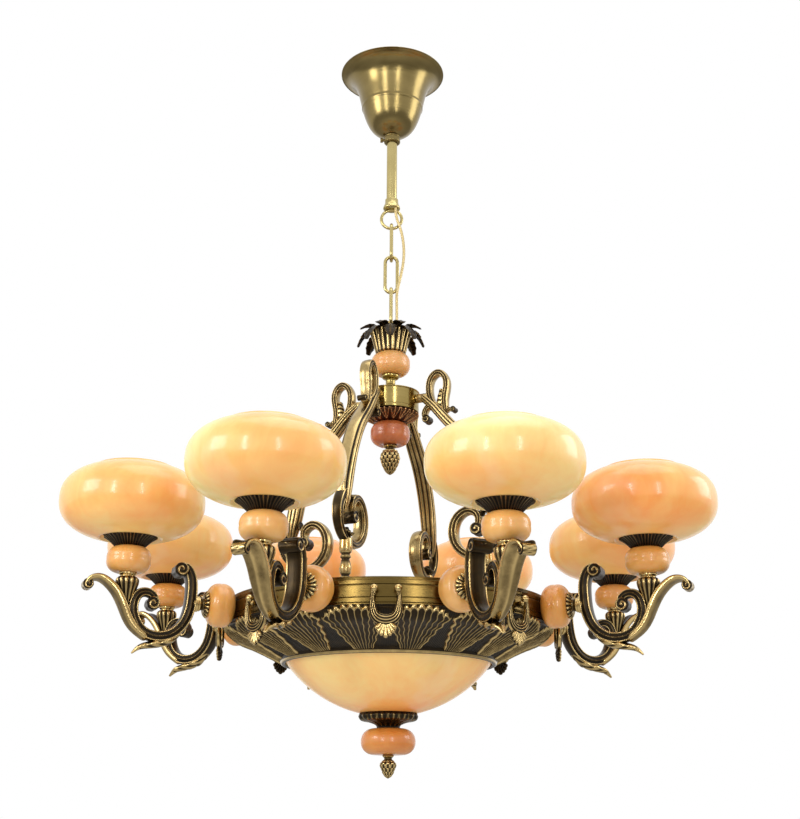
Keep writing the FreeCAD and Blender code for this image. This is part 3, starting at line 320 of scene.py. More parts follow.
def curve_through(stations, steps):
    """Many rows along a smooth curve through a few; the first two columns set its length."""
    stations = np.asarray(stations, float)
    walk = np.r_[0, np.cumsum(np.hypot(*np.diff(stations[:, :2], axis=0).T))]
    gap = np.diff(walk)
    count = len(walk)
    system = np.eye(count)
    right = np.zeros((count, stations.shape[1]))
    for k in range(1, count - 1):
        system[k, k - 1:k + 2] = gap[k - 1], 2 * (gap[k - 1] + gap[k]), gap[k]
        right[k] = 6 * ((stations[k + 1] - stations[k]) / gap[k]
                        - (stations[k] - stations[k - 1]) / gap[k - 1])
    bend = np.linalg.solve(system, right)
    at = np.linspace(0, walk[-1], steps)
    k = np.clip(np.searchsorted(walk, at, side="right") - 1, 0, count - 2)
    h, a, b = gap[k][:, None], (walk[k + 1] - at)[:, None], (at - walk[k])[:, None]
    return ((bend[k] * a ** 3 + bend[k + 1] * b ** 3) / (6 * h)
            + (stations[k] / h - bend[k] * h / 6) * a
            + (stations[k + 1] / h - bend[k + 1] * h / 6) * b)


def eased(outline, radius=0.8, ring=True):
    """A turned outline with its corners rounded off."""
    outline = np.asarray(outline, float)
    soft = []
    for k, here in enumerate(outline):
        if not ring and k in (0, len(outline) - 1):
            soft.append(here)
            continue
        back, ahead = outline[k - 1] - here, outline[(k + 1) % len(outline)] - here
        trim = min(radius, 0.4 * np.hypot(*back), 0.4 * np.hypot(*ahead))
        start, end = here + back / np.hypot(*back) * trim, here + ahead / np.hypot(*ahead) * trim
        for t in (0.0, 0.35, 0.65, 1.0):
            soft.append((1 - t) ** 2 * start + 2 * t * (1 - t) * here + t * t * end)
    return np.array(soft)


def spun(outline, around=96, ring=True, relief=None):
    """An outline (r, z) in millimetres spun round the Z axis; relief adds to r and sets the rub."""
    outline = np.asarray(outline, float)
    angle = np.linspace(0, 2 * math.pi, around, endpoint=False)[None, :]
    r, z = np.repeat(outline[:, :1], around, 1), np.repeat(outline[:, 1:2], around, 1)
    worn = np.ones_like(r)
    if relief is not None:
        r, z, worn = relief(angle, r, z)
    points = np.stack([r * np.cos(angle), r * np.sin(angle), z], -1)
    return points.reshape(-1, 3), net(len(outline), around, ring, True), (worn + 0 * r).ravel()


def turned_to(part, angle):
    """A part turned about the fixture's axis, from +X to an angle counted from the front."""
    a = math.radians(angle - 90)
    spin = np.array([[math.cos(a), math.sin(a), 0], [-math.sin(a), math.cos(a), 0], [0, 0, 1]])
    return part[0] @ spin, part[1], part[2]


def moved(part, x, y, z):
    return part[0] + (x, y, z), part[1], part[2]


def together(parts):
    """Several parts as one."""
    parts = list(parts)
    first = np.cumsum([0] + [len(part[0]) for part in parts])
    return (np.vstack([part[0] for part in parts]),
            np.vstack([part[1] + start for part, start in zip(parts, first)]),
            np.concatenate([part[2] for part in parts]))


def round_axis(part, angles):
    return together(turned_to(part, angle) for angle in angles)


def rubbed(part, share):
    """A part with its rub, or on stone its warmth, brought down to a share."""
    return part[0], part[1], part[2] * share


def fit(name, part, finish, replaced, body="chandelier"):
    """A part in millimetres about the ring level becomes a piece on its body."""
    piece = new_piece(name, part[0] * MM + (0, 0, RING_LEVEL), part[1], finish, part[2])
    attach(piece, body)
    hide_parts(*replaced)
    return piece


def brushed_brass(name, dark, light, roughness, lines_per_metre, brush=0.0):
    """Lacquered brass, brushed or polished round its own axis."""
    finish, tree, skin, join = new_finish(name)
    place = rest_place(tree)
    stretch = add_node(tree, "Mapping", Scale=(6.0, 6.0, lines_per_metre))
    lines = add_node(tree, "TexNoise", Scale=1.0, Detail=3.0, Roughness=0.6)
    cloud = add_node(tree, "TexNoise", Scale=28.0, Detail=4.0)
    join(place, stretch.inputs["Vector"])
    join(stretch.outputs[0], lines.inputs["Vector"])
    join(place, cloud.inputs["Vector"])
    both = add_node(tree, "Math", operation="MULTIPLY_ADD", by=0.45)
    join(lines.outputs["Fac"], both.inputs[0])
    halved = add_node(tree, "Math", operation="MULTIPLY", by=0.55)
    join(cloud.outputs["Fac"], halved.inputs[0])
    join(halved.outputs[0], both.inputs[2])
    join(ramp(tree, both.outputs[0], (0.3, dark), (0.7, light)), skin.inputs["Base Color"])
    told(skin, Metallic=1.0, Anisotropic=brush)
    rough = add_node(tree, "MapRange", To_Min=roughness - 0.05, To_Max=roughness + 0.06)
    join(lines.outputs["Fac"], rough.inputs["Value"])
    join(rough.outputs[0], skin.inputs["Roughness"])
    bump = add_node(tree, "Bump", Strength=0.12, Distance=0.0002)
    join(lines.outputs["Fac"], bump.inputs["Height"])
    join(bump.outputs["Normal"], skin.inputs["Normal"])
    return finish


satin_brass = brushed_brass("satin_brass", (0.17, 0.125, 0.045), (0.29, 0.22, 0.09), 0.22, 2600,
                            0.5)
pale_brass = brushed_brass("pale_brass", (0.42, 0.34, 0.14), (0.55, 0.45, 0.20), 0.24, 900, 0.2)

CEILING = 915.5                 # height over the ring level, in millimetres
STEM_BOTTOM = 672.5
STEM_LENGTH = 235
CANOPY_HEIGHT = 118
canopy_top = CEILING - 0.5
canopy_bottom = canopy_top - CANOPY_HEIGHT
canopy_bell = curve_through([(r, canopy_bottom + CANOPY_HEIGHT * f) for r, f in (
    (11.5, 0.0), (31.5, 0.10), (43.5, 0.27), (50.0, 0.45), (54.5, 0.62), (59.5, 0.765),
    (66.0, 0.87), (75.0, 0.95), (85.0, 0.99))], 90)
canopy_seam = canopy_bottom + 0.45 * CANOPY_HEIGHT
ridge = np.exp(-((canopy_bell[:, 1] - canopy_seam) / 1.2) ** 2) * 1.0
canopy_outside = canopy_bell + np.stack([ridge, 0 * ridge], 1)
canopy_lip = [(86.0, canopy_top - 1.6), (85.9, canopy_top - 0.5), (85.0, canopy_top),
              (83.4, canopy_top)]
canopy_inside = canopy_bell[::-1] * (1, 1)
canopy_inside[:, 0] -= 1.3
canopy_inside[:, 1] += 0.6
canopy_inside[0] = (82.0, canopy_top - 1.0)
canopy_inside[-1] = (8.9, canopy_bottom + 1.2)
canopy_outline = np.vstack([[(8.9, canopy_bottom)], canopy_outside, canopy_lip, canopy_inside])
fit("canopy_bell", spun(canopy_outline, 160), satin_brass, ["canopy"], "canopy_body")

collar_low = canopy_bottom - 12
collar_outline = eased([(8.9, collar_low), (12.0, collar_low), (13.5, collar_low + 1.5),
                        (13.5, collar_low + 9.0), (12.7, collar_low + 9.6),
                        (13.5, collar_low + 10.2), (13.5, canopy_bottom), (8.9, canopy_bottom)], 0.5)
fit("canopy_collar_turning", spun(collar_outline, 72), satin_brass,
    ["canopy_collar"], "canopy_body")


def laid(part, axis):
    """A part that stands on Z, laid along +X or +Y, or hung upside down."""
    x, y, z = part[0].T
    swaps = {"x": (z, y, -x), "y": (x, z, -y), "down": (x, -y, -z)}
    return np.stack(swaps[axis], 1), part[1], part[2]


def knurled(angle, r, z):
    """Twenty-four fine grooves round a screw's head."""
    return r - 0.22 * (r > 3.3) * (np.cos(24 * angle) > 0.3), z, np.ones_like(r)


screw_outline = eased([(0, 8.9), (2.5, 8.9), (2.5, 15.5), (4.0, 15.5), (4.0, 19.5), (0, 19.5)],
                      0.4, ring=False)
screw = laid(spun(screw_outline, 72, False, knurled), "x")
screw = (screw[0] * (-1, -1, 1), screw[1], screw[2])
fit("collar_set_screw", moved(screw, 0, 0, collar_low + 6), satin_brass,
    ["collar_screw"], "canopy_body")

stem_outline = eased([(7.0, STEM_BOTTOM), (8.5, STEM_BOTTOM), (8.5, STEM_BOTTOM + STEM_LENGTH),
                      (7.0, STEM_BOTTOM + STEM_LENGTH)], 0.3)
fit("stem_pipe", spun(stem_outline, 64), pale_brass, ["stem_tube"],
    "mount_and_stem")


def round_wire(points, radius, sides=20):
    """A closed wire ring through points (millimetres), with a round section."""
    points = np.asarray(points, float)
    ahead = np.roll(points, -1, 0) - np.roll(points, 1, 0)
    ahead /= np.linalg.norm(ahead, axis=1)[:, None]
    flat = np.cross(points[1] - points[0], points[len(points) // 3] - points[0])
    flat = flat / np.linalg.norm(flat) * np.ones_like(points)
    out = np.cross(ahead, flat)
    a = np.linspace(0, 2 * math.pi, sides, endpoint=False)
    rings = (points[:, None] + radius * (np.cos(a)[None, :, None] * out[:, None]
                                         + np.sin(a)[None, :, None] * flat[:, None]))
    return rings.reshape(-1, 3), net(len(points), sides, True, True), np.ones(rings.size // 3)


EYE_MIDDLE = 645.5
eye_ring = [(16.5 * math.cos(a), 0, EYE_MIDDLE + 16.5 * math.sin(a))
            for a in np.linspace(0, 2 * math.pi, 72, endpoint=False)]
bell_foot = 663.0
eye_bell = eased([(0, bell_foot), (12.0, bell_foot), (13.6, bell_foot + 0.8), (14.0, bell_foot + 2),
                  (13.2, bell_foot + 5), (11.4, bell_foot + 9), (10.8, bell_foot + 13),
                  (10.7, bell_foot + 17.5), (8.8, bell_foot + 17.5), (8.8, bell_foot + 9.5),
                  (0, bell_foot + 9.5)], 0.6, ring=False)
fit("stem_ring", together([round_wire(eye_ring, 2.5), spun(eye_bell, 64, False)]), pale_brass,
    ["stem_eye"], "mount_and_stem")

# ---------------------------------------------------------------- chain
# Three links bent from round brass wire, with straight sides and half-round ends, each hooked into
# the next at a right angle.

LINK_LOWEST = (572.55, 516.35, 460.15)
LINK_BEND, LINK_SIDE = 9.75, 42.5    # bend radius and straight side, at the wire's middle
bend = np.linspace(0, math.pi, 24)
side = np.linspace(0.04, 0.96, 20) * LINK_SIDE
bend_x, bend_z = LINK_BEND * np.cos(bend), LINK_BEND * np.sin(bend)
link_line = np.array([(x, 0, LINK_BEND + LINK_SIDE + z) for x, z in zip(bend_x, bend_z)]
                     + [(-LINK_BEND, 0, LINK_BEND + LINK_SIDE - z) for z in side]
                     + [(-x, 0, LINK_BEND - z) for x, z in zip(bend_x, bend_z)]
                     + [(LINK_BEND, 0, LINK_BEND + z) for z in side])
for number, lowest in enumerate(LINK_LOWEST, 1):
    link = round_wire(link_line, 2.75)
    link = moved(link, 0, 0, lowest)
    if number % 2:
        link = turned_to(link, 180)
    fit("chain_link_%d_wire" % number, link, pale_brass,
        ["chain_link_%d" % number], ["upper_link", "middle_link", "lower_link"][number - 1])

# ---------------------------------------------------------------- crown, its loop and bead
# A cast brass bell of twenty flutes with eight drooping leaves, patinated nearly black and rubbed
# back to gold on the ridges. Its wire loop screws on the centre rod and hooks the lowest link.
# Under it lies a turned and polished alabaster bead.


def patinated(name, hollow_tone, middle_tone, rubbed_tone):
    """Cast brass: patina left in the hollows, rubbed through to bright metal on what stands out."""
    finish, tree, skin, join = new_finish(name)
    place = rest_place(tree)
    rub = tree.nodes.new("ShaderNodeAttribute")
    rub.attribute_name = "rub"
    cloud = add_node(tree, "TexNoise", Scale=70.0, Detail=5.0, Roughness=0.62)
    grain = add_node(tree, "TexNoise", Scale=900.0, Detail=3.0)
    join(place, cloud.inputs["Vector"])
    join(place, grain.inputs["Vector"])
    uneven = add_node(tree, "Math", operation="MULTIPLY_ADD", by=0.5)
    join(cloud.outputs["Fac"], uneven.inputs[0])
    join(rub.outputs["Fac"], uneven.inputs[2])
    level = add_node(tree, "Math", operation="SUBTRACT", by=0.25)
    join(uneven.outputs[0], level.inputs[0])
    join(ramp(tree, level.outputs[0], (0.0, hollow_tone), (0.42, middle_tone),
              (0.92, rubbed_tone)), skin.inputs["Base Color"])
    metal = add_node(tree, "MapRange", From_Min=0.0, From_Max=0.6, To_Min=0.75, To_Max=1.0)
    join(level.outputs[0], metal.inputs["Value"])
    join(metal.outputs[0], skin.inputs["Metallic"])
    rough = add_node(tree, "MapRange", From_Min=0.0, From_Max=1.0, To_Min=0.38, To_Max=0.18)
    join(level.outputs[0], rough.inputs["Value"])
    join(rough.outputs[0], skin.inputs["Roughness"])
    bump = add_node(tree, "Bump", Strength=0.18, Distance=0.0004)
    join(grain.outputs["Fac"], bump.inputs["Height"])
    join(bump.outputs["Normal"], skin.inputs["Normal"])
    return finish


antique = patinated("antique_brass", (0.008, 0.0055, 0.003), (0.055, 0.034, 0.012),
                    (0.58, 0.42, 0.18))


PER_FLUTE = 8                   # points round each flute


def fluted(stations, count, steps=30, keen=1.0):
    """A solid with round flutes through stations (valley radius, peak radius, z), millimetres."""
    stations = np.asarray(stations, float)[:, [1, 2, 0]]
    rows = curve_through(stations, steps)
    peak, z, valley = rows.T
    angle = np.linspace(0, 2 * math.pi, count * PER_FLUTE, endpoint=False)[None, :]
    lobe = np.abs(np.sin(count * angle / 2)) ** keen
    r = valley[:, None] + (peak - valley)[:, None] * lobe
    z = np.repeat(z[:, None], r.shape[1], 1)
    worn = np.repeat(lobe ** 1.6, len(r), 0)
    r = np.vstack([0 * r[:1], r, 0 * r[:1]])
    z = np.vstack([z[:1], z, z[-1:]])
    worn = np.vstack([worn[:1] * 0.4, worn, worn[-1:] * 0.4])
    points = np.stack([r * np.cos(angle), r * np.sin(angle), z], -1)
    return points.reshape(-1, 3), net(len(r), r.shape[1], False, True), worn.ravel()


# where a section's points lie: from a face's middle to its corner, close together near the rim
eighth = np.arctan([0.0, 0.1, 0.22, 0.4, 0.6, 0.74, 0.84, 0.92, 1.0]) / (2 * math.pi)
quarter = np.r_[eighth, 0.25 - eighth[-2:0:-1]]
CORNERED = np.concatenate([quarter + k / 4 for k in range(4)])[None, :]


def cast_member(stations, shape, steps, around=None):
    """A cast member along stations (x, z, thick, wide); shape gives across, out and rub.

    Its sections have evenly spaced points where around says how many, or else more at the corners.
    """
    line = curve_through(stations, steps)
    ahead = np.gradient(line[:, :2], axis=0)
    ahead /= np.hypot(*ahead.T)[:, None]
    share = np.linspace(0, 1, steps)
    size = np.ones(steps)
    for end, sign in ((0, -1), (-1, 1)):
        turns = [k * math.pi / 10 for k in range(1, 6)]
        reach = 0.5 * line[end, 2]
        extra = np.array([np.r_[line[end, :2] + sign * ahead[end] * reach * math.sin(t),
                                line[end, 2:]] for t in turns])
        small = np.array([max(math.cos(t), 0.0) for t in turns])
        lead = np.repeat(ahead[end][None], len(turns), 0)
        level = np.repeat(share[end], len(turns))
        if end == 0:
            line, size = np.vstack([extra[::-1], line]), np.r_[small[::-1], size]
            ahead, share = np.vstack([lead, ahead]), np.r_[level, share]
        else:
            line, size = np.vstack([line, extra]), np.r_[size, small]
            ahead, share = np.vstack([ahead, lead]), np.r_[share, level]
    u = np.linspace(0, 1, around, endpoint=False)[None, :] if around else CORNERED
    across, out, worn = shape(u, share[:, None])
    across = across * (line[:, 3] / 2 * size)[:, None]
    out = out * (line[:, 2] / 2 * size)[:, None]
    points = np.stack([line[:, :1] - ahead[:, 1:] * out, across,
                       line[:, 1:2] + ahead[:, :1] * out], -1)
    worn = worn * np.ones_like(out)
    return points.reshape(-1, 3), net(len(line), u.shape[1], False, True), worn.ravel()


def box_form(u, power):
    """A rounded rectangle: u runs once round from one side face."""
    c, s = np.cos(2 * math.pi * u), np.sin(2 * math.pi * u)
    reach = (np.abs(c) ** power + np.abs(s) ** power) ** (-1 / power)
    return c, s, reach


def rimmed_bar(face_rub, side_rub, hollow=0.16, bead=0.10):
    """A bar with thin bright rims, swelling outer faces, and a bead along its hollow sides."""
    def shape(u, along):
        c, s, reach = box_form(u, 3.4)
        across = np.minimum(np.abs(c), np.abs(s)) / np.maximum(np.abs(c), np.abs(s))
        on_side = np.abs(c) > np.abs(s)
        rim = np.clip((across - 0.74) / 0.14, 0, 1)
        middle = np.exp(-(across / 0.16) ** 2)
        reach = reach * np.where(on_side, 1 - hollow * (1 - rim) + bead * middle,
                                 1 - 0.06 * np.exp(-((across - 0.72) / 0.12) ** 2) + 0.03 * middle)
        worn = np.where(on_side, side_rub + 0.45 * middle, face_rub)
        return c * reach, s * reach, np.clip(np.maximum(worn, rim), 0, 1) + 0 * along
    return shape


def droop_leaf(u, along):
    """A leaf with a bright midrib, side veins and a lobed edge."""
    c, s = np.cos(2 * math.pi * u), np.sin(2 * math.pi * u)
    across = np.sign(c) * np.abs(c) ** 0.8
    lobes = 1 - 0.16 * np.abs(np.sin(5 * math.pi * along)) * (np.abs(across) > 0.5)
    rib = np.exp(-(across / 0.14) ** 2)
    veins = 0.5 + 0.5 * np.cos(2 * math.pi * (5.5 * along - 1.3 * np.abs(across)))
    out = s * (0.62 + 0.38 * rib - 0.22 * veins * (1 - rib)) + 0.35 * across ** 2
    worn = 0.06 + 0.40 * rib + 0.20 * (1 - veins) * np.abs(across) + 0.30 * (np.abs(across) > 0.9)
    return across * lobes, out, np.clip(worn, 0, 1)


EIGHTHS = [45 * k for k in range(8)]
ARM_ANGLES = [22.5 + angle for angle in EIGHTHS]
CROWN_BOTTOM, CROWN_TOP = 412.0, 456.0
crown_bell = fluted([(22.0, 23.5, CROWN_BOTTOM), (23.0, 25.4, CROWN_BOTTOM + 7),
                     (24.8, 27.6, CROWN_BOTTOM + 16), (27.0, 30.3, CROWN_BOTTOM + 26),
                     (29.6, 33.0, CROWN_TOP - 9)], 20, steps=24)
crown_lid = spun(eased([(0, CROWN_TOP - 12), (29.5, CROWN_TOP - 9.5), (27.0, CROWN_TOP - 3.5),
                        (21.0, CROWN_TOP - 0.8), (0, CROWN_TOP)], 1.0, False), 80, False,
                 lambda a, r, z: (r, z, 0.25 + 0.3 * np.cos(8 * a) ** 2))
long_leaf = cast_member([(23, CROWN_TOP - 10, 8, 13), (33, CROWN_TOP - 8.5, 7, 21),
                         (42, CROWN_TOP - 15, 6, 22), (48.5, CROWN_TOP - 25, 5.2, 17),
                         (51, CROWN_TOP - 31, 4.4, 10)], droop_leaf, 40, 32)
short_leaf = cast_member([(20, CROWN_TOP - 7, 7, 12), (31, CROWN_TOP - 3, 5.4, 20),
                          (41, CROWN_TOP - 4, 4.4, 19), (50, CROWN_TOP - 9, 3, 8)],
                         droop_leaf, 32, 28)
fit("crown_casting",
    together([crown_bell, crown_lid, round_axis(long_leaf, EIGHTHS),
              round_axis(short_leaf, ARM_ANGLES)]),
    antique, ["crown_leaves"])

LOOP_CENTRE = CROWN_TOP + 0.7
loop_line = [(9.0, 0, LOOP_CENTRE - 6)] + [
    (9.0 * math.cos(a), 0, LOOP_CENTRE + 9.0 * math.sin(a)) for a in np.linspace(0, math.pi, 28)
] + [(-9.0, 0, LOOP_CENTRE - 6), (-9.0, 0, LOOP_CENTRE - 10), (9.0, 0, LOOP_CENTRE - 10)]
loop_boss = spun(eased([(5.3, CROWN_TOP - 14), (13, CROWN_TOP - 14), (13, CROWN_TOP - 3),
                        (5.3, CROWN_TOP - 3)], 0.6), 48)
fit("crown_hook_loop", together([round_wire(loop_line, 2.5), loop_boss]), antique,
    ["crown_loop"])


def mottled(name, scale, detail, first, last, **settings):
    """A plain finish whose tone drifts a little; first and last are (position, colour)."""
    finish, tree, skin, join = new_finish(name)
    speck = add_node(tree, "TexNoise", Scale=scale, Detail=detail)
    join(rest_place(tree), speck.inputs["Vector"])
    join(ramp(tree, speck.outputs["Fac"], first, last), skin.inputs["Base Color"])
    told(skin, **settings)
    return finish


rubber = mottled("black_rubber", 600.0, 2.0, (0.3, (0.012, 0.012, 0.012)),
                 (0.8, (0.035, 0.034, 0.032)), Roughness=0.6)
grommet_line = [(9.5 + 3.9 * math.cos(a), -9.5 + 3.9 * math.sin(a), CROWN_TOP + 1.4)
                for a in np.linspace(0, 2 * math.pi, 32, endpoint=False)]
fit("cord_grommet_ring", round_wire(grommet_line, 1.4, 14), rubber, ["cord_grommet"])


def alabaster(name, pale, warm, deep, painted_glow, vein, seed=0.0):
    """Polished stone: warm where the attribute rub says so, clouded, banded and finely veined, with a
    painted glow in its own colour.
    """
    finish, tree, skin, join = new_finish(name)
    place = rest_place(tree)
    shift = add_node(tree, "Mapping", Location=(seed, seed * 0.7, -seed), Scale=(1.0, 1.0, 0.5))
    join(place, shift.inputs["Vector"])
    clouds = add_node(tree, "TexNoise", Scale=9.0, Detail=4.0, Roughness=0.5, Distortion=0.9)
    bands = add_node(tree, "TexNoise", Scale=26.0, Detail=6.0, Roughness=0.6, Distortion=1.8)
    milk = add_node(tree, "TexWave", Scale=3.2, Distortion=9.0, Detail=4.0, Detail_Scale=1.6,
                    wave_type="BANDS", bands_direction="DIAGONAL")
    for node in (clouds, bands, milk):
        join(shift.outputs[0], node.inputs["Vector"])
    warmth = tree.nodes.new("ShaderNodeAttribute")
    warmth.attribute_name = "rub"
    sway = add_node(tree, "MapRange", From_Min=0.25, From_Max=0.75, To_Min=-0.26, To_Max=0.26)
    join(clouds.outputs["Fac"], sway.inputs["Value"])
    total = add_node(tree, "Math", operation="ADD")
    join(warmth.outputs["Fac"], total.inputs[0])
    join(sway.outputs[0], total.inputs[1])
    fine = add_node(tree, "MapRange", From_Min=0.3, From_Max=0.7, To_Min=-0.20 * vein,
                    To_Max=0.20 * vein)
    join(bands.outputs["Fac"], fine.inputs["Value"])
    depth = add_node(tree, "Math", operation="ADD")
    join(total.outputs[0], depth.inputs[0])
    join(fine.outputs[0], depth.inputs[1])
    body_tone = ramp(tree, depth.outputs[0], (0.02, pale), (0.5, warm), (0.98, deep))
    streak = add_node(tree, "MapRange", From_Min=0.86, From_Max=1.0, To_Min=0.0, To_Max=0.10)
    join(milk.outputs["Fac"], streak.inputs["Value"])
    milky = add_node(tree, "Mix", data_type="RGBA")
    milky.inputs[7].default_value = (1.0, 0.86, 0.66, 1)
    join(streak.outputs[0], milky.inputs[0])
    join(body_tone, milky.inputs[6])
    join(milky.outputs[2], skin.inputs["Base Color"])
    # painted glow: the stone sends out its own colour as light, though it is no lamp
    join(milky.outputs[2], skin.inputs["Emission Color"])
    told(skin, Emission_Strength=painted_glow, Subsurface_Weight=0.2, Subsurface_Radius=(1.0, 0.45, 0.2),
         Subsurface_Scale=0.012, Roughness=0.42, Coat_Weight=0.6, Coat_Roughness=0.16)
    return finish


def stone_bead(radius, height, flat, bore):
    """A turned bead standing on z = 0, warm all over."""
    half = height / 2
    corner = (flat + (radius - flat) * 0.76, half * 0.70)
    # the side's arc passes through the flat's edge, the shoulder and the widest point
    (x1, z1), (x2, z2), (x3, z3) = (flat, half), corner, (radius, 0)
    a = np.array([[x2 - x1, z2 - z1], [x3 - x2, z3 - z2]])
    b = np.array([(x2 ** 2 - x1 ** 2 + z2 ** 2 - z1 ** 2) / 2,
                  (x3 ** 2 - x2 ** 2 + z3 ** 2 - z2 ** 2) / 2])
    cx, cz = np.linalg.solve(a, b)
    reach = math.hypot(x1 - cx, z1 - cz)
    turn_low, turn_high = math.atan2(z1 - cz, x1 - cx), math.atan2(z3 - cz, x3 - cx)
    top = [(cx + reach * math.cos(t), half + cz + reach * math.sin(t))
           for t in np.linspace(turn_low, turn_high, 16)]
    low = [(r, height - z) for r, z in top[::-1][1:]]
    outline = [(bore, height)] + top + low + [(bore, 0)]
    return spun(outline, 72)


honey_stone = alabaster("honey_alabaster", (0.89, 0.51, 0.16), (0.79, 0.35, 0.07),
                        (0.65, 0.21, 0.025), painted_glow=0.03, vein=0.7, seed=0.31)
BEAD_RADIUS, BEAD_HEIGHT, BEAD_FLAT = 30, 36, 17
rod_bead = stone_bead(BEAD_RADIUS, BEAD_HEIGHT, BEAD_FLAT, 5.3)
fit("crown_bead_stone", rubbed(moved(rod_bead, 0, 0, CROWN_BOTTOM - BEAD_HEIGHT), 0.42), honey_stone,
    ["crown_bead"])

# ---------------------------------------------------------------- neck, drum and hub bead
# A turned spool and a spun drum of polished brass, a cast cup of leaves under the drum, a bead of
# redder stone and a pine-cone finial that screws on the end of the centre rod.

polished_brass = brushed_brass("polished_brass", (0.26, 0.19, 0.055), (0.40, 0.30, 0.11), 0.17,
                               1800, 0.2)
DRUM_BOTTOM, DRUM_TOP, SPOOL_BOTTOM = 313.0, 345.0, 351.0
spool_outline = eased([(5.3, 0), (16, 0), (16, 1.5), (13.5, 4.2), (9.2, 6.6), (7.5, 9.5),
                       (7.5, 15.5), (8.4, 17.6), (9.8, 18.4), (11.5, 18.9), (13.6, 21.0),
                       (14, 22.8), (14, 25), (5.3, 25)], 0.5)
fit("neck_spool_turning", moved(spun(spool_outline, 72), 0, 0, SPOOL_BOTTOM), polished_brass,
    ["neck_spool"])
drum_outline = eased([(5.3, SPOOL_BOTTOM), (16, SPOOL_BOTTOM), (25, SPOOL_BOTTOM - 0.9),
                      (35, SPOOL_BOTTOM - 2.6), (45.5, DRUM_TOP + 0.5), (45.5, DRUM_TOP - 1.0),
                      (44, DRUM_TOP - 1.5), (44, DRUM_TOP - 26.5), (43.5, DRUM_TOP - 27.0),
                      (44, DRUM_TOP - 27.5), (44, DRUM_BOTTOM), (41.5, DRUM_BOTTOM),
                      (41.5, DRUM_TOP - 2.5), (5.3, DRUM_TOP - 2.5)], 0.5)
fit("hub_drum_spinning", spun(drum_outline, 144), polished_brass, ["hub_drum"])


def leaf_relief(count, low, high, depth):
    """Pointed leaves with a midrib round a cup, from low to high; adds depth at the ribs."""
    def relief(angle, r, z):
        up = np.clip((z - low) / (high - low), 0, 1)
        side = np.abs((count * angle / (2 * math.pi)) % 1 - 0.5) * 2
        width = np.sqrt(np.clip(up, 0, 1)) * 0.98
        inside = side < width
        edge = np.exp(-((side - width) / 0.13) ** 2)
        rib = np.exp(-(side / 0.14) ** 2)
        vein = 0.5 + 0.5 * np.cos(14 * up * math.pi / 2 + 9 * side)
        lift = np.clip(0.25 + 0.85 * rib + 0.75 * edge + 0.30 * vein * inside, 0, 1.2)
        return r + depth * (lift - 0.5) * (r > 8), z, np.clip(lift * 0.9 - 0.12, 0, 1)
    return relief


copper_patina = patinated("copper_patina", (0.025, 0.009, 0.005), (0.11, 0.042, 0.016),
                          (0.58, 0.32, 0.14))
cup_low = DRUM_BOTTOM - 15
hub_cup_rows = curve_through([(25.0, cup_low), (30.5, cup_low + 3.6), (38.5, cup_low + 8.0),
                              (42.6, cup_low + 12.2), (40.6, DRUM_BOTTOM - 0.2)], 26)
hub_cup_outline = np.vstack([[(5.3, cup_low)], hub_cup_rows, [(5.3, DRUM_BOTTOM - 0.2)]])
fit("hub_cup_casting", spun(hub_cup_outline, 320, True, leaf_relief(16, cup_low, DRUM_BOTTOM, 3.0)),
    copper_patina, ["hub_leaf_cup"])

red_stone = alabaster("red_alabaster", (0.66, 0.22, 0.07), (0.50, 0.12, 0.03), (0.34, 0.06, 0.012),
                      painted_glow=0.02, vein=1.2, seed=0.9)
hub_bead_low = cup_low - BEAD_HEIGHT
fit("hub_bead_stone", rubbed(moved(rod_bead, 0, 0, hub_bead_low), 0.5), red_stone,
    ["hub_bead"])


def cone_finial(length, radius, neck, rows, scales):
    """A turned neck and an egg of overlapping scales, hanging down from z = 0."""
    neck_line = eased([(0, 0), (radius * 0.62, 0), (radius * 0.74, -1.8), (neck, -4.6),
                       (neck, -6.5), (radius * 0.80, -8.8), (radius * 0.80, -10.5)], 0.4, False)
    egg = curve_through([(radius * 0.80, -10.5), (radius * 0.97, -length * 0.34),
                         (radius * 0.97, -length * 0.50), (radius * 0.70, -length * 0.74),
                         (radius * 0.38, -length * 0.91), (radius * 0.06, -length + 0.6)], 60)
    top, bottom = -length * 0.27, -length

    def scaled(angle, r, z):
        down = (z - top) / (bottom - top) * rows
        row = np.floor(down)
        side = np.abs((scales * angle / (2 * math.pi) + 0.5 * (row % 2)) % 1 - 0.5) * 2
        fall = down - row
        point = np.clip(1 - side ** 1.5 - 0.35 * np.abs(fall - 0.3), 0, 1)
        body = (down > 0) & (r > 1)
        worn = np.where(body, np.clip(point * 1.25, 0, 1), 0.45 + 0.4 * (r > neck + 1))
        return r + np.where(body, (point - 0.72) * radius * 0.16, 0), z, worn
    return spun(np.vstack([neck_line, egg[1:], [(0, -length + 0.2)]]), 168, False, scaled)


fit("hub_finial_casting", moved(cone_finial(47, 15, 7.0, 6, 12), 0, 0, hub_bead_low), antique,
    ["hub_finial"])

# ---------------------------------------------------------------- struts
# Four cast brass scrolls pegged into the drum. Each has a teardrop loop with a small ribbed
# leaf at its top, a stranded trunk, two open scrolls below and a turned spindle that is bolted
# to the plate.

STRUT_ANGLES = [-22.5 + 90 * k for k in range(4)]
PLATE_TOP = 14.5


def stranded_bar(strands, depth):
    """Parallel round strands along a member's sides, and one broad smooth strand outside."""
    def shape(u, along):
        c, s, reach = box_form(u, 2.8)
        turn = np.arctan2(c, s) / math.pi           # 0 on the outer face, 1 or -1 on the inner one
        grooves = np.clip((np.abs(turn) - 0.26) / 0.74, 0, 1)
        dip = np.where(np.abs(turn) < 0.22, 0.0, np.abs(np.cos(math.pi * grooves * strands)) ** 8)
        reach = reach * (1 - depth * dip)
        return c * reach, s * reach, 0.82 - 0.8 * dip + 0 * along
    return shape


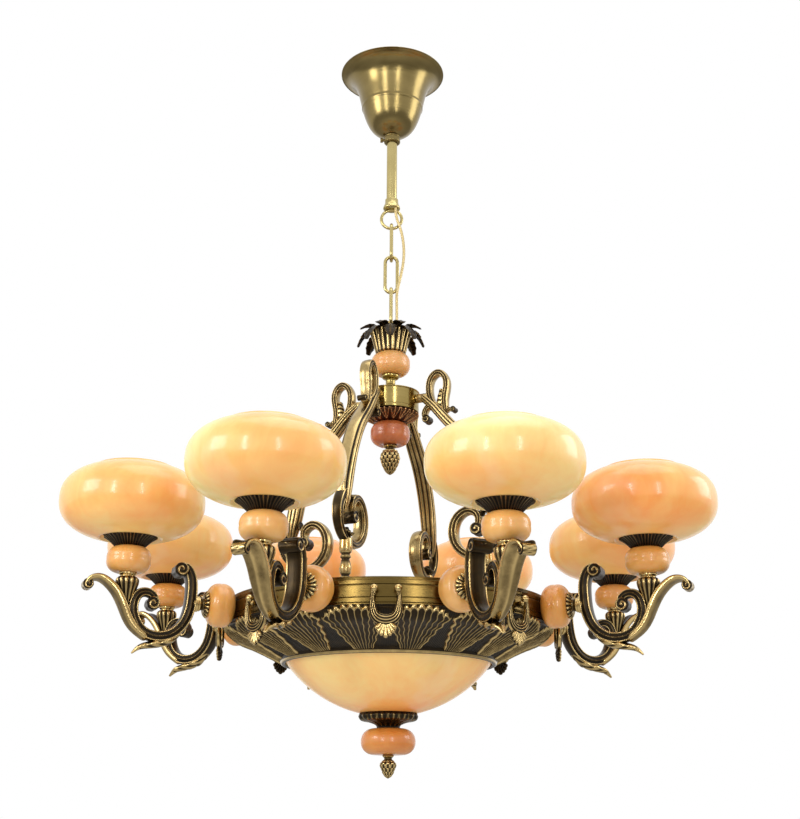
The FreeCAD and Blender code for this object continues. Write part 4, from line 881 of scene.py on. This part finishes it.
def ribbed_leaf(u, along):
    """A short fat leaf crossed by ribs."""
    c, s, reach = box_form(u, 2.2)
    ribs = 0.5 + 0.5 * np.cos(2 * math.pi * (4.5 * along - 0.6 * np.abs(c)))
    return c * reach, s * reach * (0.8 + 0.2 * ribs), np.clip(0.1 + ribs, 0, 1)


def scroll_roll(x, z, radius, width, rub=0.30):
    """The rolled end of a scroll, with a spiral sunk in each side and leaf lobes round it."""
    half = width / 2
    side_line = [(0, half + 0.6), (radius * 0.28, half + 0.4), (radius * 0.40, half - 0.5),
                 (radius * 0.62, half - 0.6), (radius * 0.78, half + 0.2),
                 (radius * 0.93, half - 0.5), (radius, half - radius * 0.28)]
    outline = side_line + [(radius * 0.97, 0)] + [(r, -y) for r, y in side_line[::-1]]

    def spiral(angle, r, y):
        turn = (r / radius * 1.6 - angle / (2 * math.pi)) % 1
        on_side = np.abs(y) > half - radius * 0.2
        lobes = np.abs(np.sin(4 * angle + 0.25 * y)) * ~on_side
        worn = np.where(on_side, 0.12 + 0.6 * (turn > 0.62), rub * (0.4 + 0.9 * lobes))
        r_lobed = r - 0.9 * (1 - lobes) * ~on_side * (r > 0.5 * radius)
        y_cut = y - np.sign(y) * on_side * (turn < 0.45) * (r > 0.3 * radius) * 0.5
        return r_lobed, y_cut, worn
    return moved(laid(spun(eased(outline, 0.5, False), 48, False, spiral), "y"), x, 0, z)


hub_z = DRUM_TOP - 13
bright_scroll, dark_scroll = rimmed_bar(0.72, 0.30), rimmed_bar(0.34, 0.05)
strut_members = [
    ([(56, hub_z, 13, 16), (72, 317, 15, 22), (94, 291, 16, 26), (121, 261, 17, 27),
      (142, 224, 19, 26), (155, 188, 22, 25), (161, 160, 23, 23), (164, 140, 17, 20),
      (166, 122, 8, 12)], stranded_bar(4, 0.16), 100, 72),
    ([(81, 308, 10, 17), (70, 325, 10, 18), (66, 346, 10, 18), (71, 363, 10, 18), (81, 369, 10, 18),
      (91, 362, 10, 18), (94, 344, 10, 18), (91, 325, 10, 17), (93, 307, 8, 15)], bright_scroll, 80),
    ([(90, 320, 6, 11), (95, 311, 6, 12), (104, 306, 5, 10)], bright_scroll, 24),
    ([(82, 309, 14, 13), (84, 321, 14, 13), (85, 331, 12, 13), (85, 340, 6, 12)], ribbed_leaf, 40, 40),
    ([(70, 321, 9, 16), (61, 313, 8, 15), (58, 303, 8, 15), (62, 295, 7, 14)], bright_scroll, 30),
    ([(141, 124, 9, 17), (142, 138, 11, 19), (130, 148, 12, 20), (112, 141, 13, 21),
      (103, 120, 14, 22), (107, 99, 13, 21), (120, 85, 12, 19), (138, 80, 11, 18),
      (152, 84, 12, 17)], bright_scroll, 80),
    ([(160, 156, 11, 18), (171, 144, 11, 18), (179, 128, 10, 17), (179, 111, 9, 16),
      (172, 97, 9, 15), (161, 89, 10, 15), (152, 86, 11, 15)], dark_scroll, 70),
]
strut_parts = [cast_member(*member) for member in strut_members]
strut_parts += [scroll_roll(62, 296, 6.5, 18), scroll_roll(140, 119, 9.5, 21),
                scroll_roll(105, 307, 4.5, 14)]
# a leaf collar where scroll and trunk meet, and a three-lobed leaf over the spindle
for x, z, lean, size in ((150, 152, 20, 13), (162, 158, -25, 13), (140, 96, -60, 12),
                         (152, 100, 0, 13), (164, 98, 60, 12)):
    a = math.radians(lean)
    tip = (x - size * math.sin(a) * 1.3, z - size * math.cos(a) * 1.3)
    strut_parts.append(cast_member([(x, z, 6, 10), ((x + tip[0]) / 2, (z + tip[1]) / 2, 9, 22),
                                    (*tip, 4, 8)], droop_leaf, 24, 32))
peg = laid(spun(eased([(0, 44.3), (7, 44.3), (7, 64), (0, 66)], 0.6, False), 40, False), "x")
strut_parts.append(moved(peg, 0, 0, hub_z))
spindle_line = [(0, 0), (10, 0), (10, 3), (6, 7), (5.2, 13), (8, 17), (5, 20), (7.6, 23.5),
                (8.6, 30), (7.4, 36), (5.2, 43), (7.8, 46), (5.6, 50), (8.6, 53), (9.5, 58),
                (9, 72), (0, 74)]


def spindle_rub(angle, r, z):
    return r, z, np.clip((r - 4.6) / 4.0, 0.1, 1)


spindle = spun(eased(spindle_line, 1.0, False), 48, False, spindle_rub)
strut_parts.append(moved(spindle, 152, 0, PLATE_TOP))
strut = together(strut_parts)
for number, angle in enumerate(STRUT_ANGLES, 1):
    fit("strut_%d_casting" % number, turned_to(strut, angle), antique,
        ["strut_%d" % number])

# ---------------------------------------------------------------- ring band
# The band is spun brass, bronzed dark, with three fine lines cut round it; its flange, turned in
# at the top, lies on the steel plate that carries the struts and the bowl.

BAND_TOP, BAND_BOTTOM, BAND_RADIUS = 17.0, -22.0, 236.0
BAND_SEAT = BAND_RADIUS + 0.3   # where beads, lugs and the skirt's seat begin
band_inside = BAND_RADIUS - 3.5
band_outline = eased(
    [(BAND_RADIUS - 14, BAND_TOP - 2.5), (BAND_RADIUS - 14, BAND_TOP), (BAND_RADIUS - 3, BAND_TOP),
     (BAND_RADIUS - 3, BAND_TOP - 4), (BAND_RADIUS - 1, BAND_TOP - 4.5),
     (BAND_RADIUS - 1, BAND_TOP - 10), (BAND_RADIUS - 1.9, BAND_TOP - 10.5),
     (BAND_RADIUS - 1, BAND_TOP - 11), (BAND_RADIUS - 1, BAND_TOP - 11.5),
     (BAND_RADIUS, BAND_TOP - 12), (BAND_RADIUS, BAND_BOTTOM + 12),
     (BAND_RADIUS - 0.9, BAND_BOTTOM + 11.5), (BAND_RADIUS, BAND_BOTTOM + 11),
     (BAND_RADIUS, BAND_BOTTOM + 5), (BAND_RADIUS - 0.9, BAND_BOTTOM + 4.5),
     (BAND_RADIUS, BAND_BOTTOM + 4), (BAND_RADIUS, BAND_BOTTOM), (band_inside, BAND_BOTTOM),
     (band_inside, BAND_TOP - 5), (band_inside - 2, BAND_TOP - 5),
     (band_inside - 2, BAND_TOP - 2.5)],
    0.35)
bronzed_brass = brushed_brass("bronzed_brass", (0.085, 0.056, 0.015), (0.16, 0.105, 0.03), 0.20,
                              1500, 0.3)
fit("ring_band_spinning", spun(band_outline, 256), bronzed_brass, ["ring_band"])

# ---------------------------------------------------------------- skirt of shells
# One cast dish between band and bowl: sixteen fans of thin ribs with scalloped bright edges, dark
# between them, and a plain moulding with a bright line, in which the rim of the bowl sits.

RIM_LEVEL = -67.0
ledge = RIM_LEVEL + 0.3
SHELLS = 16
SKIRT_COLUMNS = 1920
skirt_line = curve_through([(156.0, RIM_LEVEL - 1), (176.5, RIM_LEVEL + 9), (209, RIM_LEVEL + 24),
                            (228, -34.5), (241.0, BAND_BOTTOM + 0.8)], 84)


def shell_fans(angle, r, z):
    """Each fan: a scalloped outline, thin bright ribs that spread from its foot, hollow flutes."""
    up = np.linspace(0, 1, r.shape[0])[:, None]
    side = (((SHELLS * angle / (2 * math.pi)) % 1) - 0.5) * 2
    spread = (0.30 + 0.68 * up ** 0.6) * (1 + 0.045 * np.sin(11 * math.pi * up))
    strip = side / spread * 4.5
    top = 0.93 - 0.16 * (side / spread) ** 2 + 0.06 * np.abs(np.cos(math.pi * strip))
    inside = (np.abs(side) < spread) & (up < top)
    off = np.abs(strip - np.round(strip))
    rib = np.exp(-((0.5 - off) / (0.09 + 0.10 * (1 - up))) ** 2) * inside
    edge = np.exp(-((np.abs(side) - spread) / 0.042) ** 2) * (up < top + 0.02)
    crest = np.exp(-((up - top) / 0.026) ** 2) * (np.abs(side) < spread)
    corner = np.exp(-((np.abs(side) * 14) % 1 - 0.5) ** 2 / 0.03) * ~inside
    raised = np.clip(np.maximum(np.maximum(rib * 0.8, edge), crest), 0, 1)
    lift = 2.3 * raised + 1.2 * inside * (1 - (side / spread) ** 2) - 1.5 * ~inside + 0.5 * corner
    fade = np.clip(up / 0.05, 0, 1) * np.clip((1 - up) / 0.03, 0.3, 1)
    worn = (0.02 + 0.26 * inside * (0.7 - np.minimum(off, 0.5)) + 0.22 * corner
            + np.maximum(0.75 * rib, 0.98 * np.maximum(edge, crest)))
    return r + lift * fade * 0.62 - 1.2, z - lift * fade * 0.78 + 0.8, np.clip(worn, 0, 1)


outer_skirt = spun(skirt_line, SKIRT_COLUMNS, False, shell_fans)
inner_line = skirt_line[::-10] + (-1.0, 4.2)
inner_line[0] = (233.0, BAND_BOTTOM - 0.2)
inner_skirt = spun(inner_line, SKIRT_COLUMNS, False, lambda a, r, z: (r, z, 0.15 + 0 * r))
skirt_points = np.vstack([outer_skirt[0], inner_skirt[0]])
skirt_shell = (skirt_points, net(len(skirt_points) // SKIRT_COLUMNS, SKIRT_COLUMNS, True, True),
               np.r_[outer_skirt[2], inner_skirt[2]])
moulding = spun(eased([(143, ledge), (150, ledge), (150, ledge - 4), (153, ledge - 5),
                       (156.2, ledge - 4.0), (157, ledge - 1.5), (159, ledge + 3),
                       (154, ledge + 6.5), (143, ledge + 3.5)], 0.7), 256,
                True, lambda a, r, z: (r, z, 0.12 + 0.7 * (r > 154.5) * (z < ledge - 1)))
skirt_seat = spun([(221, BAND_BOTTOM - 3), (BAND_SEAT, BAND_BOTTOM - 3),
                   (BAND_SEAT, BAND_BOTTOM - 0.2), (221, BAND_BOTTOM - 0.2)], 192,
                  True, lambda a, r, z: (r, z, 0.2 + 0 * r))
fit("skirt_casting", together([skirt_shell, moulding, skirt_seat]), antique,
    ["skirt"])

# ---------------------------------------------------------------- horseshoe drops
# Eight cast horseshoes hang in front of the skirt on two lugs each: knobbed horns, a bow of
# parallel ridges and a small ribbed shell tongue below.

DROP_BACK = 243.0


def ridged_bow(u, along):
    """Parallel ridges across the front of the bow."""
    c, s, reach = box_form(u, 2.6)
    ridges = 0.5 + 0.5 * np.cos(4 * math.pi * s * reach)
    worn = np.clip(ridges ** 1.5, 0, 1) + 0 * along
    return c * reach * (1 - 0.24 * (1 - ridges)), s * reach, worn


horn = 17.0
bow_z = -42.16
half_u = [(horn - 1.5, -2, 6.5, 7), (horn + 0.5, -12, 6, 7), (horn, -24, 9, 7.5),
          (horn * 0.74, bow_z + 5, 13, 8.5)]
bow_stations = half_u + [(0, bow_z, 15, 8.5)] + [(-x, z, t, w) for x, z, t, w in half_u[::-1]]
drop_parts = [cast_member(bow_stations, ridged_bow, 80, 72)]
KNOB_RADIUS = 5.2
knob = spun([(KNOB_RADIUS * math.sin(t), -KNOB_RADIUS * math.cos(t))
             for t in np.linspace(0, math.pi, 16)], 28, False)
drop_parts += [moved(knob, side * (horn - 1.5), 0, -1) for side in (-1, 1)]


def tongue_rib(reach, lean):
    """One tapered rib of the shell tongue, leaning by an angle in degrees."""
    line = [(0, 0), (1.8, 0)] + [(1.8 + 1.8 * t, -reach * t) for t in (0.4, 0.8)]
    line += [(3.5 * math.cos(t), -reach - 3.0 * math.sin(t) + 2) for t in np.linspace(0.1, 1.57, 7)]
    rib = spun(line, 20, False, lambda a, r, z: (r, z, 0.25 + 0.75 * np.clip(-np.sin(a), 0, 1)))
    a = math.radians(lean)
    tilt = np.array([[math.cos(a), 0, -math.sin(a)], [0, 1, 0], [math.sin(a), 0, math.cos(a)]])
    return rib[0] @ tilt, rib[1], rib[2]


drop_parts += [moved(tongue_rib(68 + bow_z - 2 * abs(k) - 2, 15 * k), 0, 0, bow_z + 2)
               for k in range(-3, 4)]
drop = together(drop_parts)
across, outward, level = drop[0].T
drop = np.stack([DROP_BACK + 4.0 - outward, across, level], 1), drop[1], drop[2]
lug_length = DROP_BACK + 3 - BAND_SEAT
lug = laid(spun([(0, 0), (3.2, 0), (3.2, lug_length), (0, lug_length)], 20, False), "x")
drop = together([drop] + [moved(lug, BAND_SEAT, side * (horn - 1), -6) for side in (-1, 1)])
fit("drop_ornament_castings", round_axis(drop, EIGHTHS), antique,
    ["drop_ornaments"])

# ---------------------------------------------------------------- side beads and flower collars
# Each arm is bolted through a bead that lies on its side against the band. Between bead and arm
# sits a cast collar: a serrated flower and a short spool.

arm_bead = stone_bead(BEAD_RADIUS, BEAD_HEIGHT, BEAD_FLAT, 4.3)
side_bead = moved(laid(arm_bead, "x"), BAND_SEAT, 0, 0)
bead_warmth = [0.45, 0.62, 0.40, 0.55, 0.42, 0.50, 0.30, 0.48]
fit("side_bead_stones",
    together(rubbed(turned_to(side_bead, a), w) for a, w in zip(ARM_ANGLES, bead_warmth)),
    honey_stone, ["side_beads"])

flower = fluted([(13.5, 15.0, 0.05), (15.5, 19.0, 1.6), (14.5, 17.0, 4.0), (10, 11.5, 6.5)], 18,
                steps=12, keen=0.8)
short_spool = spun(eased([(0, 4), (10, 4), (8, 8), (8.6, 10), (10, 11.5), (10, 13.9), (0, 13.9)],
                         0.6, False), 48, False,
                   lambda a, r, z: (r, z, np.clip((r - 7) / 3, 0.1, 1)))
COLLAR_LENGTH = 14.0
side_collar = moved(laid(together([flower, short_spool]), "x"), BAND_SEAT + BEAD_HEIGHT, 0, 0)
fit("side_collar_castings", round_axis(side_collar, ARM_ANGLES), antique,
    ["side_collars"])

# ---------------------------------------------------------------- arms
# Eight cast brass arms: a C scroll with hollow faces and bright rims, a spike leaf wrapped under
# it, a broad acanthus tongue with a rolled tip, an inner volute and a fluted pedestal.

SHADE_AXIS, PEDESTAL_TOP = 385.0, 36.5
ARM_START = BAND_SEAT + BEAD_HEIGHT + COLLAR_LENGTH


def tongue_leaf(u, along):
    """A broad tongue: dished and dark on top with bright edges, smooth and keeled below, with a
    painted highlight down the keel.
    """
    c, s = np.cos(2 * math.pi * u), np.sin(2 * math.pi * u)
    across = np.sign(c) * np.abs(c) ** 0.75
    upper = np.clip(s, 0, 1)
    lower = np.clip(-s, 0, 1)
    keel = np.exp(-(across / 0.16) ** 2)
    out = upper * (0.15 + 0.95 * across ** 2) - lower ** 0.7 * (0.86 + 0.16 * keel)
    # below, the rub is partly wear on the smooth belly and partly a painted highlight, brightest along
    # the keel
    worn = np.where(s > 0.05, 0.05 + 0.9 * np.abs(across) ** 5, 0.60 + 0.35 * keel
                    + 0.40 * np.abs(across) ** 6)
    return across * (1 - 0.05 * np.abs(np.sin(2.5 * math.pi * along))), out, np.clip(worn, 0, 1)


def spike_leaf(u, along):
    """A pointed leaf with deep dark slots between bright ribs."""
    c, s = np.cos(2 * math.pi * u), np.sin(2 * math.pi * u)
    across = np.sign(c) * np.abs(c) ** 0.8
    slots = 0.5 + 0.5 * np.cos(2 * math.pi * (4.2 * along - 0.9 * np.abs(across)))
    slots = slots ** 3 * (np.abs(across) > 0.12) * (np.abs(across) < 0.94) * (along < 0.86)
    out = s * (0.95 - 0.45 * slots)
    return across * (1 + 0.10 * np.sin(8 * math.pi * along)), out, np.clip(0.85 - slots, 0, 1)


arm_scroll = rimmed_bar(0.24, 0.06, 0.20, 0.10)
arm_members = [
    ([(318, 47, 9, 20), (308, 49, 13, 26), (299, 38, 15, 28), (296, 18, 16, 28), (298, -8, 16, 28),
      (306, -29, 15, 26), (322, -44, 15, 24), (344, -48, 15, 23), (363, -40, 15, 23),
      (374, -21, 15, 23), (374, -1, 14, 23), (366, 10, 13, 22), (356, 11, 12, 21), (347, 4, 11, 20),
      (345, -5, 10, 19)], arm_scroll, 150),
    ([(358, -48, 13, 20), (374, -34, 16, 24), (387, -11, 17, 28), (398, 9, 17, 31),
      (411, 22, 15, 32), (425, 28, 12, 31), (436, 25, 10, 26), (441, 16, 9, 20)], tongue_leaf, 80, 48),
    ([(308, -40, 6, 14), (320, -51, 9, 19), (336, -57, 11, 20), (352, -60, 10, 18), (364, -64, 7, 12),
      (372, -71, 3, 5)], spike_leaf, 80, 48),
]
arm_parts = [cast_member(*member) for member in arm_members]
arm_parts += [scroll_roll(313, 45, 10.0, 29), scroll_roll(349, -4, 9.5, 23),
              scroll_roll(438, 17, 7.5, 20, 0.8)]
root_line = eased([(0, 0.05), (11, 0.05), (11, 9), (9, 12), (0, 12)], 0.8, False)
root_boss = laid(spun(root_line, 40, False), "x")
arm_parts.append(moved(root_boss, ARM_START, 0, 0))
pedestal = fluted([(3.5, 4.5, -14), (6.0, 7.2, -5), (8.5, 10.0, 4), (11.4, 13.4, 14),
                   (13.5, 16.0, 23), (13.2, 15.6, 27.5), (10.4, 11.8, 31)], 12)
pedestal_neck = spun(eased([(0, 30), (10.5, 30), (10, 32), (12.2, 34.5), (12.4, 36.45),
                            (0, 36.45)], 0.5, False), 48, False)
arm_parts += [moved(pedestal, SHADE_AXIS, 0, 0), moved(pedestal_neck, SHADE_AXIS, 0, 0)]
arm = together(arm_parts)
for number, angle in enumerate(ARM_ANGLES, 1):
    fit("arm_%d_casting" % number, turned_to(arm, angle), antique,
        ["arm_%d" % number])

# ---------------------------------------------------------------- beads and cups under the shades
# A small upright bead stands on each pedestal; on it sits a cast cup of fine pleats that opens
# into a ragged leaf edge under the shade. A threaded nipple clamps them.

shade_bead = moved(arm_bead, SHADE_AXIS, 0, PEDESTAL_TOP)
shade_bead_warmth = [0.42, 0.36, 0.48, 0.60, 0.60, 0.52, 0.45, 0.25]
fit("shade_bead_stones",
    together(rubbed(turned_to(shade_bead, a), w) for a, w in zip(ARM_ANGLES, shade_bead_warmth)),
    honey_stone, ["shade_beads"])

CUP_LOW, CUP_TOP = 72.5, 88.0
dark_casting = patinated("dark_casting", (0.012, 0.008, 0.005), (0.07, 0.045, 0.02),
                         (0.42, 0.32, 0.17))


def pleats(angle, r, z):
    """Forty fine pleats that spread into a ragged edge."""
    up = np.clip((z - CUP_LOW) / (CUP_TOP - CUP_LOW), 0, 1)
    pleat = np.abs(np.cos(20 * angle + 0.6 * np.sin(5 * angle) * up))
    tips = np.abs(np.cos(5 * angle + 0.8 * np.sin(3 * angle))) ** 0.5
    reach = r * (1 - 0.10 * (1 - pleat) - 0.12 * up * (1 - tips)) * (r > 6) + r * (r <= 6)
    return reach, z, np.clip(pleat ** 6 * (0.30 + 0.60 * up * tips), 0, 1) * (r > 6)


cup_line = curve_through([(21.0, CUP_LOW + 0.1), (24.6, CUP_LOW + 3.6), (30.0, CUP_LOW + 8.6),
                          (36.0, CUP_LOW + 12.6), (38.2, CUP_TOP - 1.4)], 20)
cup = spun(np.vstack([[(4.5, CUP_LOW + 0.1)], cup_line,
                      [(36.5, CUP_TOP - 0.2), (4.5, CUP_TOP - 0.2)]]), 320, True, pleats)
fit("shade_cup_castings", round_axis(moved(cup, SHADE_AXIS, 0, 0), ARM_ANGLES), dark_casting,
    ["shade_cups"])

# ---------------------------------------------------------------- shades
# Eight round shades turned from translucent alabaster, 6 mm thick, open at the top, polished.
# Each comes from its own part of the block, so its clouds and warm patches are its own. The pale
# patch on the second shade's right flank is painted light, not stone.

SHADE_CENTRE = 135.0


def shade_outline():
    def curve(radius, half, reach_low, reach_high, count):
        turn = [math.asin((reach / radius) ** 1.2) for reach in (reach_low, reach_high)]
        at = np.linspace(turn[0], math.pi - turn[1], count)
        r = radius * np.abs(np.sin(at)) ** (2 / 2.4)
        z = -half * np.sign(np.cos(at)) * np.abs(np.cos(at)) ** (2 / 2.4)
        return np.stack([r, SHADE_CENTRE + z], 1)
    outer = curve(100, 54, 42, 54, 64)
    inner = curve(94, 48, 46, 52, 48)[::-1]
    rim = [(53.4, SHADE_CENTRE + 50.4), (52.6, SHADE_CENTRE + 49.6)]
    foot_out = [(21, 88.05), (39, 88.05), (40.8, 88.2)]
    foot_in = [(42, 94), (21, 94)]
    return np.vstack([foot_out, outer, rim, inner, foot_in])


shade_form = spun(shade_outline(), 128)
pale_stone = alabaster("pale_alabaster", (0.97, 0.76, 0.30), (0.95, 0.53, 0.16), (0.90, 0.30, 0.05),
                       painted_glow=0.13, vein=0.35)
# base warmth, then patches (degrees round the shade from its outer side, height, size, warmth)
SHADE_STONES = [
    (0.02, [(-60, -0.7, 0.9, 0.40), (20, -0.9, 0.8, 0.30), (90, 0.0, 0.7, 0.10)]),
    # the second shade's paler patch at 10 degrees is painted light, where the right window falls on
    # its flank
    (0.48, [(-100, 0.2, 0.8, 0.50), (10, 0.2, 0.9, -0.30), (-30, -0.9, 0.8, 0.20)]),
    (0.50, [(-60, 0.1, 1.0, 0.25)]), (0.60, [(180, 0.0, 1.2, 0.15)]),
    (0.60, [(180, 0.0, 1.2, 0.15)]), (0.50, [(60, 0.1, 1.0, 0.15)]),
    (0.22, [(70, 0.4, 0.8, 0.40), (120, -0.4, 0.8, 0.45), (0, -0.8, 0.8, 0.3)]),
    (0.12, [(50, 0.1, 0.9, 0.62), (-70, 0.2, 0.9, -0.16), (0, -0.9, 0.8, 0.35)]),
]
around, height, _ = shade_form[0].T
turn_round = np.arctan2(height, around)
for number, (angle, (base, patches)) in enumerate(zip(ARM_ANGLES, SHADE_STONES), 1):
    warmth = np.full(len(around), base)
    level = (shade_form[0][:, 2] - SHADE_CENTRE) / 54
    for at, up, size, amount in patches:
        off = (turn_round - math.radians(at) + math.pi) % (2 * math.pi) - math.pi
        warmth += amount * np.exp(-(off ** 2 + ((level - up) * 0.8) ** 2) / size ** 2)
    stone = (shade_form[0], shade_form[1], warmth)
    fit("shade_%d_stone" % number, turned_to(moved(stone, SHADE_AXIS, 0, 0), angle), pale_stone,
        ["shade_%d" % number])

# ---------------------------------------------------------------- bowl and what hangs under it
# The bowl is one dish of alabaster, 300 mm across, that hangs on its own rod from the plate.
# A cast leaf cap, a flat bead and a small pine-cone finial close it below.

BOWL_SPHERE, BOWL_RADIUS = 186.0, 150.0
SPHERE_CENTRE = RIM_LEVEL + math.sqrt(BOWL_SPHERE ** 2 - BOWL_RADIUS ** 2)
bowl_bottom = SPHERE_CENTRE - BOWL_SPHERE


def dish(sphere, start, stop, count):
    r = sphere * np.sin(np.linspace(math.asin(start / sphere), math.asin(stop / sphere), count))
    return np.stack([r, SPHERE_CENTRE - np.sqrt(sphere ** 2 - r ** 2)], 1)


inner_rim = math.sqrt(179 ** 2 - (SPHERE_CENTRE - RIM_LEVEL) ** 2)
bowl_outline = np.vstack([dish(186, 8, 149.6, 60), [(149.4, RIM_LEVEL)],
                          [(inner_rim + 0.6, RIM_LEVEL)], dish(179, 8, inner_rim - 0.2, 48)[::-1]])
bowl_form = spun(bowl_outline, 192)
x, y, _ = bowl_form[0].T
bowl_warmth = np.full(len(x), 0.36)
for at, r_at, size, amount in [(-130, 120, 60, -0.20), (-95, 70, 70, 0.10), (-50, 120, 55, -0.12),
                               (-70, 60, 50, 0.12), (-90, 20, 60, 0.30), (90, 100, 90, 0.1)]:
    a = math.radians(at)
    bowl_warmth += amount * np.exp(-((x - r_at * math.cos(a)) ** 2 + (y - r_at * math.sin(a)) ** 2)
                                   / size ** 2)
bowl_stone = alabaster("bowl_alabaster", (0.97, 0.70, 0.25), (0.96, 0.49, 0.14), (0.90, 0.28, 0.045),
                       painted_glow=0.14, vein=0.35, seed=0.12)
fit("bowl_stone", (bowl_form[0], bowl_form[1], bowl_warmth), bowl_stone, ["bowl"])

cap_bottom = bowl_bottom - 17.0
cap_line = curve_through([(r, cap_bottom + up) for r, up in (
    (16.5, 0.05), (17.2, 3.5), (21.5, 6.5), (31.5, 9.5), (41.5, 13), (43.2, 16.5))], 34)
seat_r = np.linspace(38.5, 4.6, 14)
seat_line = np.stack([seat_r, SPHERE_CENTRE - np.sqrt(186.3 ** 2 - seat_r ** 2) - 0.1], 1)
cap_outline = np.vstack([[(4.6, cap_bottom + 0.05)], cap_line, [(41.2, cap_bottom + 21.6)],
                         seat_line])


def cap_leaves(angle, r, z):
    """Sixteen small pointed leaves under the rim of the cap."""
    up = np.clip((z - cap_bottom - 4) / 10, 0, 1)
    under = (r > 17) & (z < SPHERE_CENTRE - np.sqrt(np.clip(186.3 ** 2 - r ** 2, 0, None)) - 0.5)
    side = np.abs((16 * angle / (2 * math.pi)) % 1 - 0.5) * 2
    rib = np.exp(-(side / 0.22) ** 2)
    edge = np.exp(-((side - 0.9 * np.sqrt(up)) / 0.16) ** 2)
    lift = np.clip(rib + edge, 0, 1) * under
    tips = 1 - 0.07 * up * (side > 0.7)
    reach = np.where(under, (r + 0.9 * (lift - 0.5) * up) * tips, r)
    return reach, z, np.clip(0.06 + 0.62 * lift, 0, 1)


fit("bowl_cap_casting", spun(cap_outline, 320, True, cap_leaves), antique,
    ["bowl_cap"])
low_bead = moved(stone_bead(39, BEAD_HEIGHT, 20, 4.3), 0, 0, cap_bottom - BEAD_HEIGHT)
amber_stone = alabaster("amber_alabaster", (0.80, 0.38, 0.09), (0.70, 0.25, 0.04),
                        (0.56, 0.15, 0.02), painted_glow=0.03, vein=0.8, seed=0.55)
fit("bowl_bead_stone", rubbed(low_bead, 0.42), amber_stone, ["bowl_bead"])
fit("bowl_finial_casting",
    moved(cone_finial(33, 11.5, 5.6, 5, 10), 0, 0, cap_bottom - BEAD_HEIGHT), antique,
    ["bowl_finial"])

# ---------------------------------------------------------------- lamp holders and bulbs
# Twelve white ceramic screw holders, one in each shade on its nipple and four hanging under the
# plate into the bowl, each with a small opal globe bulb.

ceramic = mottled("white_ceramic", 120.0, 4.0, (0.3, (0.80, 0.78, 0.73)),
                  (0.7, (0.88, 0.87, 0.84)), Roughness=0.25)
opal = mottled("opal_glass", 40.0, 3.0, (0.3, (0.90, 0.86, 0.76)), (0.7, (0.96, 0.93, 0.86)),
               Roughness=0.18, Subsurface_Weight=0.4, Subsurface_Scale=0.01)
finish_solid("lamp_holders", ceramic)
finish_solid("bulbs", opal)
